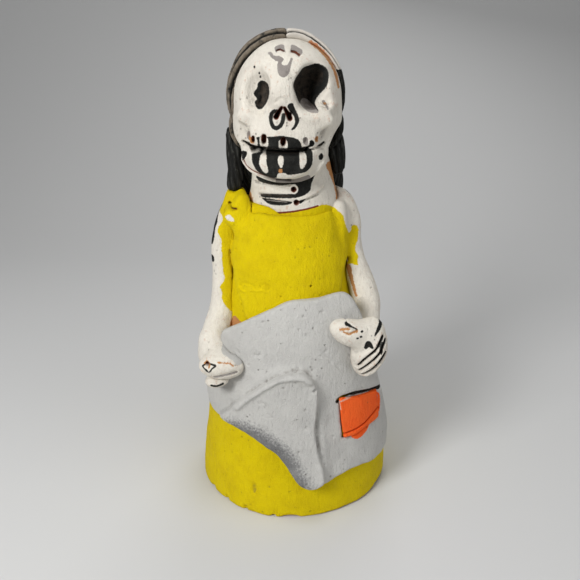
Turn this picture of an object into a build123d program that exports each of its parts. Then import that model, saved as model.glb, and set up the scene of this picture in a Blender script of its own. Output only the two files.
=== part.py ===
from build123d import *
import os

# A hand-built clay catrina: a skeleton woman in a long dress who holds a cloth in front of her.
# Every solid is one lump, coil or slab of clay, pressed onto its neighbours before firing.
# Millimetres. +Z is up and the figure faces -Y. Every dimension is counted from the centre of the foot
# ring, and the finished pieces are then moved so that the origin is the middle of the overall depth.
# Left and right are the figure's own, so her right side is at -X.

# Driving dimensions.
FOOT_RADIUS = 36.3            # outside of the bell where it rests
FOOT_CENTRE_Y = 1.9           # where the centre of the foot ring ends up
WALL = 4.2                    # thickness of the bell
SHOULDER_HEIGHT = 108.0       # top of the bell, under the neck
HOLLOW_HEIGHT = 96.0          # top of the space inside the bell
LEAN = -2.3                   # sideways drift of the axis at the shoulders
HEAD_X, HEAD_Y, HEAD_Z = -2.6, -3.5, 143.0
MOUTH_HEIGHT = 128.2          # middle of the mouth slit
MOUTH_GAP = 0.3               # what the slit leaves open between skull and jaw
PANEL_THICKNESS = 2.8         # bodice slab
SHEET_THICKNESS = 2.8         # rolled cloth sheet
FOLD_THICKNESS = 3.0          # its folded corner
PATCH_DEPTH = 1.3             # how far the patch is let into the sheet
PATCH_PROUD = 0.4             # how far it stands out of the sheet
PARTING_X = HEAD_X - 0.4      # where the two sheets of hair meet
PARTING_GAP = 0.4
END_SWELL = 1.06              # how much fuller a coil's round end is than the coil
CLEAR = 200.0                 # larger than the figure, for cutting blocks

# The bell by height: half width, half depth and the centre's X.
BELL = [
    (0.0, FOOT_RADIUS, FOOT_RADIUS, 0.0),
    (13.0, 35.5, 35.2, 0.0),
    (26.0, 33.8, 33.2, 0.0),
    (42.0, 31.2, 30.2, -0.2),
    (60.0, 27.0, 25.8, -0.6),
    (78.0, 22.2, 21.0, -1.4),
    (92.0, 19.8, 18.4, -2.0),
    (102.0, 18.2, 16.2, LEAN),
    (SHOULDER_HEIGHT, 15.6, 13.6, LEAN),
]

# The middle of the cloth sheet by height: its frontmost Y and the radius of its curve.
SHEET = [
    (6.0, -37.0, 36.6),
    (25.0, -34.3, 36.0),
    (40.0, -32.2, 35.6),
    (56.0, -30.4, 37.5),
    (70.0, -27.8, 44.0),
    (90.0, -23.0, 58.0),
]

# The head by height above its centre: half width, half depth, and the centre's X and Y.
HEAD = [
    (-26.0, 3.0, 3.0, -0.4, -6.0),
    (-24.8, 8.4, 8.6, -0.5, -6.0),
    (-21.2, 13.4, 13.5, -0.6, -4.8),
    (-16.0, 16.0, 15.8, -0.5, -2.8),
    (-10.0, 17.6, 17.0, -0.2, -1.2),
    (-3.0, 17.9, 17.8, 0.0, -0.3),
    (4.0, 17.2, 18.2, 0.1, 0.0),
    (10.0, 14.6, 16.0, 0.3, 0.4),
    (14.6, 10.4, 11.8, 0.4, 0.8),
    (17.4, 5.2, 6.2, 0.4, 1.0),
    (18.0, 1.6, 2.0, 0.4, 1.0),
]

# Outlines in the X-Z plane, seen from the front. A soft outline runs through its points as a curve.
BODICE_OUTLINE = [
    (-15.0, 106.2), (-2.0, 106.6), (13.4, 107.4), (17.0, 104.0), (18.6, 92.0), (16.8, 79.5),
    (15.5, 70.0), (-17.0, 70.0), (-20.8, 80.5), (-22.0, 91.0), (-20.5, 101.0),
]
SHEET_OUTLINE = [
    (-24.4, 67.4), (-18.4, 71.2), (-8.0, 76.6), (0.0, 79.4), (8.5, 79.8), (16.4, 81.2), (21.0, 76.0),
    (26.0, 62.0), (31.0, 43.0), (34.8, 25.0), (33.6, 16.6), (26.2, 15.8), (19.7, 16.2), (12.0, 14.2),
    (4.6, 13.8), (0.3, 17.4), (-4.0, 23.6), (-9.0, 28.0), (-17.4, 31.6), (-24.0, 32.8), (-30.4, 35.0),
    (-32.2, 40.0), (-29.0, 52.0), (-26.2, 60.0),
]
FOLD_OUTLINE = [
    (-26.6, 36.6), (-21.0, 42.0), (-15.4, 47.2), (-10.6, 51.0), (-3.4, 55.4), (3.4, 55.6), (5.6, 52.4),
    (7.0, 39.0), (8.8, 22.0), (8.6, 15.4), (4.4, 14.8), (2.0, 16.2), (-2.0, 21.4), (-6.2, 26.6),
    (-13.4, 31.0), (-20.6, 33.8),
]
PATCH_OUTLINE = [(15.0, 45.2), (29.4, 42.2), (30.8, 31.2), (24.9, 30.6), (20.9, 29.6), (17.0, 29.8)]
STRAP_FRONT_OUTLINE = [(-17.4, 114.0), (-25.2, 105.0), (-23.6, 100.5), (-14.6, 101.5), (-13.6, 107.0)]
STRAP_BACK_OUTLINE = [(-23.0, 118.2), (-17.0, 113.6), (-16.0, 108.0), (-25.6, 104.6), (-24.6, 112.0)]

# Coils by station: X, Y, Z and radius.
RIGHT_ARM = [
    (-15.5, 1.0, 104.6, 4.4), (-22.0, 1.0, 103.0, 4.7), (-24.5, 0.4, 96.0, 4.8), (-25.0, -1.5, 86.0, 4.8),
    (-24.9, -4.5, 76.0, 4.9), (-26.8, -11.0, 65.5, 5.2), (-28.4, -18.5, 57.0, 5.6),
]
LEFT_ARM = [
    (11.0, 1.0, 108.6, 4.2), (16.2, 1.0, 107.0, 4.5), (19.0, 0.2, 101.0, 4.6), (19.4, -1.5, 92.0, 4.8),
    (22.4, -5.0, 81.0, 4.9), (25.6, -11.0, 70.5, 5.0), (26.8, -18.0, 62.0, 5.2),
]


def grown_bell(extra):
    """The bell as a solid without its hollow, larger all round by extra."""
    return loft([Pos(x, 0, z) * Ellipse(width + extra, depth + extra) for z, width, depth, x in BELL])


def egg(centre, radii, tilt=(0, 0, 0)):
    """An ellipsoid with its three radii, tilted about its own centre. Its poles are front and back."""
    return Pos(*centre) * Rot(*tilt) * scale(Rot(90, 0, 0) * Sphere(1.0), by=radii)


def front_block(outline, back=0.0, front=-70.0, soft=False):
    """A block with the given X-Z outline that reaches from Y = back forward to Y = front."""
    edge = Spline(*outline, periodic=True) if soft else Polyline(*outline, close=True)
    return Pos(0, back, 0) * extrude(Rot(90, 0, 0) * make_face(edge), amount=back - front)


def coil(stations):
    """A rolled coil of clay: circles lofted along a path, with a round end at each side."""
    points = [Vector(*station[:3]) for station in stations]
    path = Spline(*points)
    circles = []
    for point, station in zip(points, stations):
        direction = path.tangent_at(path.param_at_point(point))
        side = direction.cross(Vector(0, 1, 0))
        circles.append(Plane(point, x_dir=side, z_dir=direction) * Circle(station[3]))
    ends = [Pos(*station[:3]) * Sphere(station[3] * END_SWELL) for station in (stations[0], stations[-1])]
    return loft(circles) + ends


def sheet_layer(inner, outer):
    """The space between two offsets of the cloth sheet's middle surface, positive forward."""
    def offset(distance):
        return loft([Pos(0, front + radius, z) * Circle(radius + distance) for z, front, radius in SHEET])

    return offset(outer) - offset(inner)


def trimmed(shape, *neighbours):
    """The shape pressed against its neighbours: what they fill is cut away, and crumbs are dropped."""
    for neighbour in neighbours:
        shape = shape - neighbour
    return max(shape.solids(), key=lambda solid: solid.volume)


def make_body_shell(bell_solid):
    """The bell with its hollow, open at the foot."""
    sections = [Pos(x, 0, z) * Ellipse(width - WALL, depth - WALL) for z, width, depth, x in BELL[:-2]]
    sections.append(Pos(LEAN, 0, HOLLOW_HEIGHT) * Ellipse(12.0, 11.0))
    return bell_solid - loft(sections)


def make_neck(bell_solid):
    """A plug of clay that flares onto the shoulders and carries the head."""
    sections = [
        (102.0, 16.0, 14.8, -1.0, -1.0), (107.5, 15.6, 14.4, -0.6, -1.4), (113.0, 14.4, 13.2, -0.6, -1.6),
        (121.0, 13.2, 12.2, -1.2, -1.4), (128.0, 10.5, 10.5, -2.0, -1.0),
    ]
    plug = loft([Pos(x, y, z) * Ellipse(width, depth) for z, width, depth, x, y in sections])
    return trimmed(plug, bell_solid)


def head_form():
    """The whole head as one lump, before the mouth is cut."""
    return loft([Pos(HEAD_X + x, HEAD_Y + y, HEAD_Z + z) * Ellipse(width, depth) for z, width, depth, x, y in HEAD])


def below_mouth(height):
    """A block that holds the front of the head below the given height."""
    return Pos(HEAD_X, HEAD_Y - 23, height - 15) * Box(60, 46, 30)


def pierced(x, height, half_width, half_height, lean=0.0, depth=5.0):
    """The hole a pointed stick leaves in the front of the face, at a place counted from its centre."""
    stick = extrude(Ellipse(half_width, half_height), amount=depth, both=True)
    return Pos(HEAD_X + x, HEAD_Y - 17.5, HEAD_Z + height) * Rot(0, lean, 0) * Rot(90, 0, 0) * stick


def make_skull():
    """Ball, cheeks and upper jaw, with the eye sockets pressed in and the nose and lip pierced."""
    head = head_form() - below_mouth(MOUTH_HEIGHT + MOUTH_GAP / 2)
    head -= egg((HEAD_X + 8.0, HEAD_Y - 16.5, HEAD_Z + 4.5), (5.4, 9.5, 7.6), (0, 12, 0))
    head -= egg((HEAD_X - 8.6, HEAD_Y - 17.5, HEAD_Z + 3.4), (4.6, 4.4, 6.8), (0, 6, 0))
    for x, height, lean in ((-2.6, -3.0, 16), (0.8, -3.0, -18)):
        head -= pierced(x, height, 0.9, 1.9, lean)
    for x in (-7.0, -1.2):
        head -= pierced(x, -10.9, 0.8, 1.6)
    return head


def make_lower_jaw():
    """The jaw, pressed on under the mouth slit."""
    return head_form() & below_mouth(MOUTH_HEIGHT - MOUTH_GAP / 2)


def hair_cap():
    """The combed skin of hair over the crown, sides and back of the head, before it is parted."""
    crown = egg((HEAD_X - 0.4, HEAD_Y + 1.6, HEAD_Z + 0.4), (19.3, 20.4, 20.2))
    nape = egg((HEAD_X - 0.4, HEAD_Y + 4.5, HEAD_Z - 10.0), (19.2, 15.0, 13.0))
    face_side = Pos(HEAD_X, HEAD_Y - 4.0, HEAD_Z) * Rot(-10, 0, 0) * Pos(0, -CLEAR / 2, 0) * Box(CLEAR, CLEAR, CLEAR)
    return crown + nape - face_side


def hair_half(side):
    """One side of the cap, from the parting down to the jaw: side is -1 or 1."""
    block = Box(CLEAR, CLEAR, CLEAR)
    return Pos(PARTING_X + side * (CLEAR + PARTING_GAP) / 2, 0, 126.0 + CLEAR / 2) * block


def make_hair_back():
    """The fall of hair behind the neck, spread over the shoulders."""
    sections = [
        (96.0, 15.0, 5.0, 15.5), (104.0, 18.5, 7.5, 12.5), (112.0, 19.5, 9.5, 9.5),
        (119.0, 18.5, 10.5, 8.0), (125.7, 18.0, 10.5, 6.5),
    ]
    return loft([Pos(LEAN, y, z) * Ellipse(width, depth) for z, width, depth, y in sections])


def make_sheet():
    """The rolled sheet laid over the front, with its lower right corner folded up on itself."""
    half = SHEET_THICKNESS / 2
    flat = sheet_layer(-half, half) & front_block(SHEET_OUTLINE, back=-4.0, soft=True)
    folded = sheet_layer(-half / 2, half + FOLD_THICKNESS) & front_block(FOLD_OUTLINE, back=-4.0, soft=True)
    return flat + folded


def make_patch():
    """The square of clay let into the sheet."""
    face = SHEET_THICKNESS / 2
    return sheet_layer(face - PATCH_DEPTH, face + PATCH_PROUD) & front_block(PATCH_OUTLINE, back=-4.0)


def make_parts():
    """Every piece, trimmed by the ones it is pressed against."""
    bell_solid = grown_bell(0.0)
    neck = make_neck(bell_solid)
    skull = trimmed(make_skull(), neck)
    lower_jaw = trimmed(make_lower_jaw(), neck)
    head = skull + lower_jaw
    right_arm = trimmed(coil(RIGHT_ARM), bell_solid, neck)
    left_arm = trimmed(coil(LEFT_ARM), bell_solid, neck)

    panel = grown_bell(PANEL_THICKNESS) & front_block(BODICE_OUTLINE, back=0.5)
    bodice = trimmed(panel, bell_solid, neck, right_arm, left_arm)
    patch = make_patch()
    sheet = trimmed(make_sheet(), patch, bell_solid, bodice, right_arm, left_arm)

    right_hand = trimmed(egg((-25.2, -27.2, 56.6), (7.8, 5.0, 4.8), (0, 6, 0)), right_arm, sheet)
    right_thumb = trimmed(egg((-26.8, -27.4, 51.0), (4.2, 3.6, 2.3), (0, -8, 0)), right_hand, right_arm, sheet)
    left_hand = trimmed(egg((24.9, -26.6, 62.0), (6.2, 6.0, 9.6), (0, 8, 0)), left_arm, sheet)
    left_thumb = trimmed(egg((18.0, -28.2, 69.2), (7.0, 4.6, 4.3), (0, 28, 0)), left_hand, left_arm, sheet)

    crown = hair_cap()
    hair_right = trimmed(crown & hair_half(-1), head, neck)
    hair_left = trimmed(crown & hair_half(1), head, neck)
    hair_back = trimmed(make_hair_back(), head, neck, bell_solid, right_arm, left_arm, hair_right, hair_left)
    lock_right = trimmed(
        coil([(-20.8, 2.0, 130.0, 2.9), (-20.6, 1.0, 122.0, 3.0), (-21.0, 0.0, 113.0, 2.6)]),
        head, neck, right_arm, hair_right, hair_back,
    )
    lock_left = trimmed(
        coil([(13.6, 2.0, 131.0, 2.9), (14.2, 0.6, 125.0, 3.0), (14.6, -0.2, 119.0, 2.4)]),
        head, neck, left_arm, hair_left, hair_back,
    )
    strap_back = trimmed(
        front_block(STRAP_BACK_OUTLINE, back=4.0, front=-3.5),
        bell_solid, neck, head, right_arm, hair_right, hair_back, lock_right,
    )
    strap_hole = Pos(-20.8, 0, 106.4) * Rot(90, 0, 0) * Cylinder(0.9, 60)
    strap_front = trimmed(
        front_block(STRAP_FRONT_OUTLINE, back=-3.0, front=-11.5) - strap_hole,
        bell_solid, neck, head, right_arm, bodice, strap_back, lock_right, hair_back,
    )
    return {
        "body_shell": make_body_shell(bell_solid),
        "neck": neck,
        "skull": skull,
        "lower_jaw": lower_jaw,
        "hair_right": hair_right,
        "hair_left": hair_left,
        "hair_back": hair_back,
        "lock_right": lock_right,
        "lock_left": lock_left,
        "right_arm": right_arm,
        "left_arm": left_arm,
        "right_hand": right_hand,
        "right_thumb": right_thumb,
        "left_hand": left_hand,
        "left_thumb": left_thumb,
        "bodice_panel": bodice,
        "strap_front": strap_front,
        "strap_back": strap_back,
        "cloth_sheet": sheet,
        "cloth_patch": patch,
    }


os.makedirs("parts", exist_ok=True)
for node, solid in make_parts().items():
    export_step(Pos(0, FOOT_CENTRE_Y, 0) * solid, f"parts/{node}.step")
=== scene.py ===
from math import cos, pi, radians, sin

import bpy
import numpy as np
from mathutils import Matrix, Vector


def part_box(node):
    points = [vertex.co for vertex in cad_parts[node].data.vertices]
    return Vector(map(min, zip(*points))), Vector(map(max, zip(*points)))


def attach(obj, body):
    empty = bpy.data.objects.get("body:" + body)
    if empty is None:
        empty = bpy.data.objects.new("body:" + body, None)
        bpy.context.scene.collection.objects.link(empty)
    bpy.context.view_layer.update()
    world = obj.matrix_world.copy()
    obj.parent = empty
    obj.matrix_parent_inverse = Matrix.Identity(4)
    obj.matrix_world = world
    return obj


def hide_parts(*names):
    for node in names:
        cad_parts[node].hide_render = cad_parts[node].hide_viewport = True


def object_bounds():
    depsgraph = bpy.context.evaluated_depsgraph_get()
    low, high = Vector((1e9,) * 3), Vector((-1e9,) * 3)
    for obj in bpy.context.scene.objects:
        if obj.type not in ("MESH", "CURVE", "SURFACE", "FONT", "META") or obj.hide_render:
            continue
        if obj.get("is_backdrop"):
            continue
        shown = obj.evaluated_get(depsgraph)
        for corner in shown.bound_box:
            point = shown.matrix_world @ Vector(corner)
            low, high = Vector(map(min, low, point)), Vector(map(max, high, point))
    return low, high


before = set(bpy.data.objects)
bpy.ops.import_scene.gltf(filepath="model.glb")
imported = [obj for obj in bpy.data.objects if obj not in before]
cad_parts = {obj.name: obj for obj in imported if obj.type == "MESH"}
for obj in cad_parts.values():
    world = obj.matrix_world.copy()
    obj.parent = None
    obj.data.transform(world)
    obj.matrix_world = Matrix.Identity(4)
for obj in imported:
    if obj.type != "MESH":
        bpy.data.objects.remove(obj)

import openvdb
from mathutils import Vector

# The clay catrina, sculpted. Each CAD solid is turned into a block of clay: a grid of signed distances
# in millimetres, negative inside. Tools press, pierce, line and comb that block, and its surface is
# meshed again. Painted areas are stored on the mesh as distances to each brush mark's edge, and the
# materials lay the paint down with a ragged edge. Lengths are millimetres until a mesh is made. The
# figure faces -Y, and right and left are its own, so its right side has the negative X.

METRE = 1000.0
cad_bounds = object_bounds()

BAND = 4.0                        # how far from its surface a block of clay knows its distances
CREASE_WIDTH = 1.2                # the size of hollow that is darkened
FAR = 6.0                         # the largest distance that a brush mark stores
TUCK_WIDTH = 0.2                  # how far a piece reaches under its neighbour
TUCK_DEPTH = 0.12                 # and how deep it lies there

# All work is done in a frame whose origin is the centre of the foot ring.
foot_low, foot_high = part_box("body_shell")
ORIGIN = np.array([0.0, (foot_low[1] + foot_high[1]) / 2 * METRE, 0.0])
FOOT_RADIUS = (foot_high[0] - foot_low[0]) / 2 * METRE


def corners(node):
    """The lowest and highest corner of a CAD node, in millimetres."""
    low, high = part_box(node)
    return np.array(low) * METRE - ORIGIN, np.array(high) * METRE - ORIGIN


# ---------------------------------------------------------------------------------------------
# Distances to simple shapes. x, y and z are arrays that broadcast together.

def egg(x, y, z, centre, radii):
    """Signed distance, close to exact near the surface, to an ellipsoid."""
    scaled = [(v - c) / r for v, c, r in zip((x, y, z), centre, radii)]
    length = np.sqrt(sum(s * s for s in scaled)) + 1e-6
    slope = np.sqrt(sum((s / r) ** 2 for s, r in zip(scaled, radii))) + 1e-6
    return length * (length - 1) / slope


def rod(x, y, z, start, end, radius, end_radius=None):
    """Signed distance to a rod with round ends, which may taper."""
    end_radius = radius if end_radius is None else end_radius
    along = [b - a for a, b in zip(start, end)]
    length2 = sum(a * a for a in along) + 1e-9
    t = sum((v - s) * a for v, s, a in zip((x, y, z), start, along)) / length2
    t = np.clip(t, 0, 1)
    gap2 = sum((v - s - t * a) ** 2 for v, s, a in zip((x, y, z), start, along))
    return np.sqrt(gap2) - (radius + (end_radius - radius) * t)


def brush_line(u, v, points, radius, end_radius=None):
    """Signed distance, in a plane, to a line of brush strokes whose width may change along it."""
    end_radius = radius if end_radius is None else end_radius
    count = len(points) - 1
    found = None
    for i in range(count):
        a = radius + (end_radius - radius) * i / count
        b = radius + (end_radius - radius) * (i + 1) / count
        part = rod(u, v, 0 * u, (*points[i], 0), (*points[i + 1], 0), a, b)
        found = part if found is None else np.minimum(found, part)
    return found


def polygon(u, v, points):
    """Signed distance, in a plane, to a polygon."""
    inside = np.zeros(np.broadcast(u, v).shape, bool)
    nearest = None
    for (ax, ay), (bx, by) in zip(points, points[1:] + points[:1]):
        edge = rod(u, v, 0 * u, (ax, ay, 0), (bx, by, 0), 0.0)
        nearest = edge if nearest is None else np.minimum(nearest, edge)
        if ay != by:
            crosses = (ay > v) != (by > v)
            inside ^= crosses & (u < (bx - ax) * (v - ay) / (by - ay) + ax)
    return np.where(inside, -nearest, nearest)


def oval(u, v, centre, radii, lean=0.0):
    """Signed distance, in a plane, to an oval that leans by an angle in degrees."""
    c, s = cos(radians(lean)), sin(radians(lean))
    a, b = u - centre[0], v - centre[1]
    return egg(a * c + b * s, -a * s + b * c, 0 * a, (0, 0, 0), (*radii, 1.0))


def curve(points, closed=True, rounds=2):
    """The same outline with its corners rounded off."""
    points = np.array(points, float)
    for _ in range(rounds):
        following = np.roll(points, -1, axis=0)
        cut = np.stack([0.75 * points + 0.25 * following, 0.25 * points + 0.75 * following], axis=1)
        cut = cut.reshape(-1, 2)
        points = cut if closed else np.vstack([points[:1], cut[1:-3], points[-1:]])
    return [tuple(p) for p in points]


def blended(a, b, soft):
    """Two shapes as one, with a fillet of about the given size where they meet."""
    if soft <= 0:
        return np.minimum(a, b)
    h = np.clip(0.5 + 0.5 * (a - b) / soft, 0, 1)
    return a + (b - a) * h - soft * h * (1 - h)


# ---------------------------------------------------------------------------------------------
# Noise on a grid

def spread_matrix(count, cell, cells):
    """Weights that spread lattice values over a finer row of cells along a smooth curve."""
    place = np.arange(count) / cell + 1.0
    base = np.floor(place).astype(int)
    f = place - base
    weights = np.zeros((count, cells), np.float32)
    rows = np.arange(count)
    spline = (
        (1 - f) ** 3 / 6,
        (3 * f**3 - 6 * f**2 + 4) / 6,
        (-3 * f**3 + 3 * f**2 + 3 * f + 1) / 6,
        f**3 / 6,
    )
    for step, value in enumerate(spline):
        weights[rows, base - 1 + step] += value
    return weights


def grid_noise(shape, cells, seed):
    """Smooth noise of about -1 to 1 on a grid. cells is its grain along each axis, in grid steps."""
    lattice_shape = [int(n / c) + 5 for n, c in zip(shape, cells)]
    lattice = np.random.default_rng(seed).uniform(-2.2, 2.2, lattice_shape).astype(np.float32)
    for axis in range(3):
        weights = spread_matrix(shape[axis], cells[axis], lattice_shape[axis])
        lattice = np.moveaxis(np.tensordot(weights, lattice, axes=(1, axis)), 0, axis)
    return lattice


def soften(field, reach):
    """The field blurred by a bell curve of the given width in grid steps."""
    radius = max(1, int(round(2.5 * reach)))
    bell = np.exp(-0.5 * (np.arange(-radius, radius + 1) / reach) ** 2)
    bell = (bell / bell.sum()).astype(np.float32)
    for axis in range(3):
        padding = [(radius, radius) if a == axis else (0, 0) for a in range(3)]
        padded = np.pad(field, padding, mode="edge")
        size = field.shape[axis]
        total = np.zeros_like(field)
        for k, weight in enumerate(bell):
            part = [slice(None)] * 3
            part[axis] = slice(k, k + size)
            total += weight * padded[tuple(part)]
        field = total
    return field


# ---------------------------------------------------------------------------------------------
# Clay

class Clay:
    """One or more CAD nodes as a single block of clay: signed distances on a grid."""

    def __init__(self, *nodes, cell, soft=0.0, margin=3.0):
        self.cell = cell * 1.0
        boxes = [corners(node) for node in nodes]
        low = np.min([box[0] for box in boxes], axis=0) - margin
        high = np.max([box[1] for box in boxes], axis=0) + margin
        self.start = np.floor(low / self.cell).astype(int)
        counts = np.ceil(high / self.cell).astype(int) - self.start + 1
        steps = [np.arange(count) + first for count, first in zip(counts, self.start)]
        self.lines = [(step * self.cell).astype(np.float32) for step in steps]
        self.x, self.y, self.z = np.meshgrid(*self.lines, indexing="ij", sparse=True)
        self.transform = openvdb.createLinearTransform(voxelSize=self.cell)
        self.shares = {node: self.measure(node, counts) for node in nodes}
        self.field = self.shares[nodes[0]].copy()
        for node in nodes[1:]:
            self.field = blended(self.field, self.shares[node], soft)

    def measure(self, node, counts):
        """The distances to one CAD node."""
        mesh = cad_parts[node].data
        mesh.calc_loop_triangles()
        points = np.zeros(len(mesh.vertices) * 3, np.float32)
        mesh.vertices.foreach_get("co", points)
        faces = np.zeros(len(mesh.loop_triangles) * 3, np.int32)
        mesh.loop_triangles.foreach_get("vertices", faces)
        grid = openvdb.FloatGrid.createLevelSetFromPolygons(
            (points.reshape(-1, 3) * METRE - ORIGIN).astype(np.float32),
            triangles=faces.reshape(-1, 3).astype(np.uint32),
            transform=self.transform,
            halfWidth=BAND / self.cell,
        )
        field = np.zeros(counts, np.float32)
        grid.copyToArray(field, ijk=tuple(int(s) for s in self.start))
        return field

    def near(self, centre, reach):
        """The part of the grid within reach of a point, and its x, y and z."""
        part = []
        for line, c, r in zip(self.lines, centre, np.broadcast_to(reach, 3)):
            first, last = np.searchsorted(line, (c - r, c + r))
            part.append(slice(max(0, first - 1), last + 1))
        sx, sy, sz = part
        return tuple(part), self.x[sx], self.y[:, sy], self.z[:, :, sz]

    def front(self, x, z):
        """The Y of the clay's front surface at a place seen from the front."""
        i = int(np.clip(round(x / self.cell) - self.start[0], 0, self.field.shape[0] - 1))
        k = int(np.clip(round(z / self.cell) - self.start[2], 0, self.field.shape[2] - 1))
        column = self.field[i, :, k]
        solid = np.nonzero(column < 0)[0]
        return float(self.lines[1][solid[0] if len(solid) else int(np.argmin(column))])

    def smooth(self, width):
        """Rounds the edges off over a width."""
        self.field = soften(self.field, width / self.cell)
        return self

    def uneven(self, height, grain, seed):
        """Makes the surface wander in and out by a height, with a grain in millimetres."""
        grain = np.broadcast_to(grain, 3)
        self.field += height * grid_noise(self.field.shape, grain / self.cell, seed)
        return self

    def add(self, shape, centre, reach, soft=0.6):
        """Presses a lump onto the clay. shape(x, y, z) is its signed distance."""
        part, x, y, z = self.near(centre, reach)
        self.field[part] = blended(self.field[part], shape(x, y, z), soft)
        return self

    def cut(self, shape, centre, reach, soft=0.4):
        """Takes a hollow out of the clay. shape(x, y, z) is the tool's signed distance."""
        part, x, y, z = self.near(centre, reach)
        self.field[part] = -blended(-self.field[part], shape(x, y, z), soft)
        return self

    def press(self, x, z, radii, soft=0.6, sink=0.0):
        """Presses an egg-shaped tip into the front, its middle sunk below the surface by sink."""
        centre = (x, self.front(x, z) + sink, z)
        return self.cut(lambda a, b, c: egg(a, b, c, centre, radii), centre, max(radii) + 2, soft)

    def lump(self, x, z, radii, soft=0.8, sink=0.0):
        """Sticks an egg-shaped lump on the front."""
        centre = (x, self.front(x, z) + sink, z)
        return self.add(lambda a, b, c: egg(a, b, c, centre, radii), centre, max(radii) + 2, soft)

    def line(self, points, width, depth, back=1e9):
        """Draws a groove along X-Z points, no further back than Y = back. A negative depth is a ridge."""
        us, vs = [p[0] for p in points], [p[1] for p in points]
        middle = ((min(us) + max(us)) / 2, 0, (min(vs) + max(vs)) / 2)
        reach = ((max(us) - min(us)) / 2 + 3 * width, 999, (max(vs) - min(vs)) / 2 + 3 * width)
        part, x, y, z = self.near(middle, reach)
        gap = brush_line(x + 0 * z, z + 0 * x, points, 0.0)
        self.field[part] += depth * np.exp(-((gap / width) ** 2)) * (y < back)
        return self

    def sample(self, field, points):
        """Field values at points, blended between grid steps."""
        place = points / self.cell - self.start
        base = np.clip(np.floor(place).astype(int), 0, np.array(field.shape) - 2)
        f = place - base
        total = np.zeros(len(points), np.float32)
        for corner in np.ndindex(2, 2, 2):
            weight = np.prod(np.where(corner, f, 1 - f), axis=1)
            total += weight * field[tuple((base + corner).T)]
        return total

    def part_of(self, node):
        """The clay that belongs to one node, cut where it meets its neighbours and tucked under them."""
        others = [field for name, field in self.shares.items() if name != node]
        if not others:
            return self.field
        beyond = self.shares[node] - np.minimum.reduce(others)
        return np.maximum(self.field + TUCK_DEPTH * np.clip(beyond, 0, 1), 0.5 * beyond - TUCK_WIDTH)

    def finish(self, pieces, marks):
        """Meshes each node's part, stores its paint marks and creases, and takes the node's place."""
        hollows = soften(self.field, CREASE_WIDTH / self.cell)
        for node, (slot, material) in pieces.items():
            grid = openvdb.FloatGrid(background=BAND)
            field = np.ascontiguousarray(self.part_of(node), np.float32)
            grid.copyFromArray(field, ijk=tuple(int(s) for s in self.start))
            grid.transform = self.transform
            points, quads = grid.convertToQuads()
            mesh = bpy.data.meshes.new(node + "_clay")
            mesh.vertices.add(len(points))
            mesh.vertices.foreach_set("co", ((points + ORIGIN) / METRE).astype(np.float32).ravel())
            mesh.loops.add(quads.size)
            mesh.loops.foreach_set("vertex_index", quads.astype(np.int32).ravel())
            mesh.polygons.add(len(quads))
            mesh.polygons.foreach_set("loop_start", np.arange(0, quads.size, 4, dtype=np.int32))
            mesh.update(calc_edges=True)
            mesh.validate()
            mesh.shade_smooth()
            normals = np.zeros(len(mesh.vertices) * 3, np.float32)
            mesh.vertices.foreach_get("normal", normals)
            store(mesh, "crease", -self.sample(hollows, points))
            for name, mark in {"bare": nowhere, **marks}.items():
                store(mesh, name, np.clip(-mark(points, normals.reshape(-1, 3)), -FAR, FAR))
            piece = bpy.data.objects.new(node + "_clay", mesh)
            bpy.context.scene.collection.objects.link(piece)
            mesh.materials.append(material)
            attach(piece, "root")
            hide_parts(node)


def store(mesh, name, values):
    """Keeps one number for each point of the mesh under a name that materials can read."""
    attribute = mesh.attributes.new(name, "FLOAT", "POINT")
    attribute.data.foreach_set("value", np.asarray(values, np.float32))


def nowhere(points, normals):
    """A mark that covers nothing."""
    return np.full(len(points), FAR, np.float32)


def nearest(*parts):
    """The distance to whichever of the marks is nearest."""
    found = parts[0]
    for part in parts[1:]:
        found = np.minimum(found, part)
    return found


def only(mark, condition):
    """A mark kept only where the condition holds."""
    return np.where(condition, mark, FAR)


# ---------------------------------------------------------------------------------------------
# Materials: matt brushed paint over orange clay

WHITE = (0.80, 0.755, 0.665)
WHITE_SHADE = (0.64, 0.585, 0.51)
BLACK = (0.010, 0.010, 0.009)
BLACK_DRY = (0.050, 0.050, 0.045)
YELLOW = (0.74, 0.575, 0.002)
YELLOW_SHADE = (0.60, 0.43, 0.002)
GREY = (0.56, 0.55, 0.52)
GREY_SHADE = (0.47, 0.46, 0.44)
LINE_GREY = (0.28, 0.25, 0.23)
LINE_PALE = (0.40, 0.37, 0.34)
ORANGE = (1.0, 0.150, 0.026)
ORANGE_SHADE = (0.95, 0.095, 0.014)
ORANGE_HIGHLIGHT = (0.85, 0.38, 0.26)
CLAY_COLOUR = (0.50, 0.20, 0.075)
CLAY_DARK = (0.15, 0.045, 0.018)
RUST = (0.38, 0.085, 0.020)
HOLE = (0.20, 0.035, 0.014)
DARK_BROWN = (0.10, 0.075, 0.055)
TAN = (0.52, 0.26, 0.10)
SHADE_AND_SPECKS = (0.16, 0.16, 0.16)
SHADE_AND_SPECKS_PALE = (0.33, 0.325, 0.31)
HAIR_BROWN = (0.050, 0.040, 0.030)
HAIR_WORN = (0.33, 0.275, 0.21)
HAIR_PALE = (0.45, 0.43, 0.40)
PAINT_SHEEN = 0.10


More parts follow.
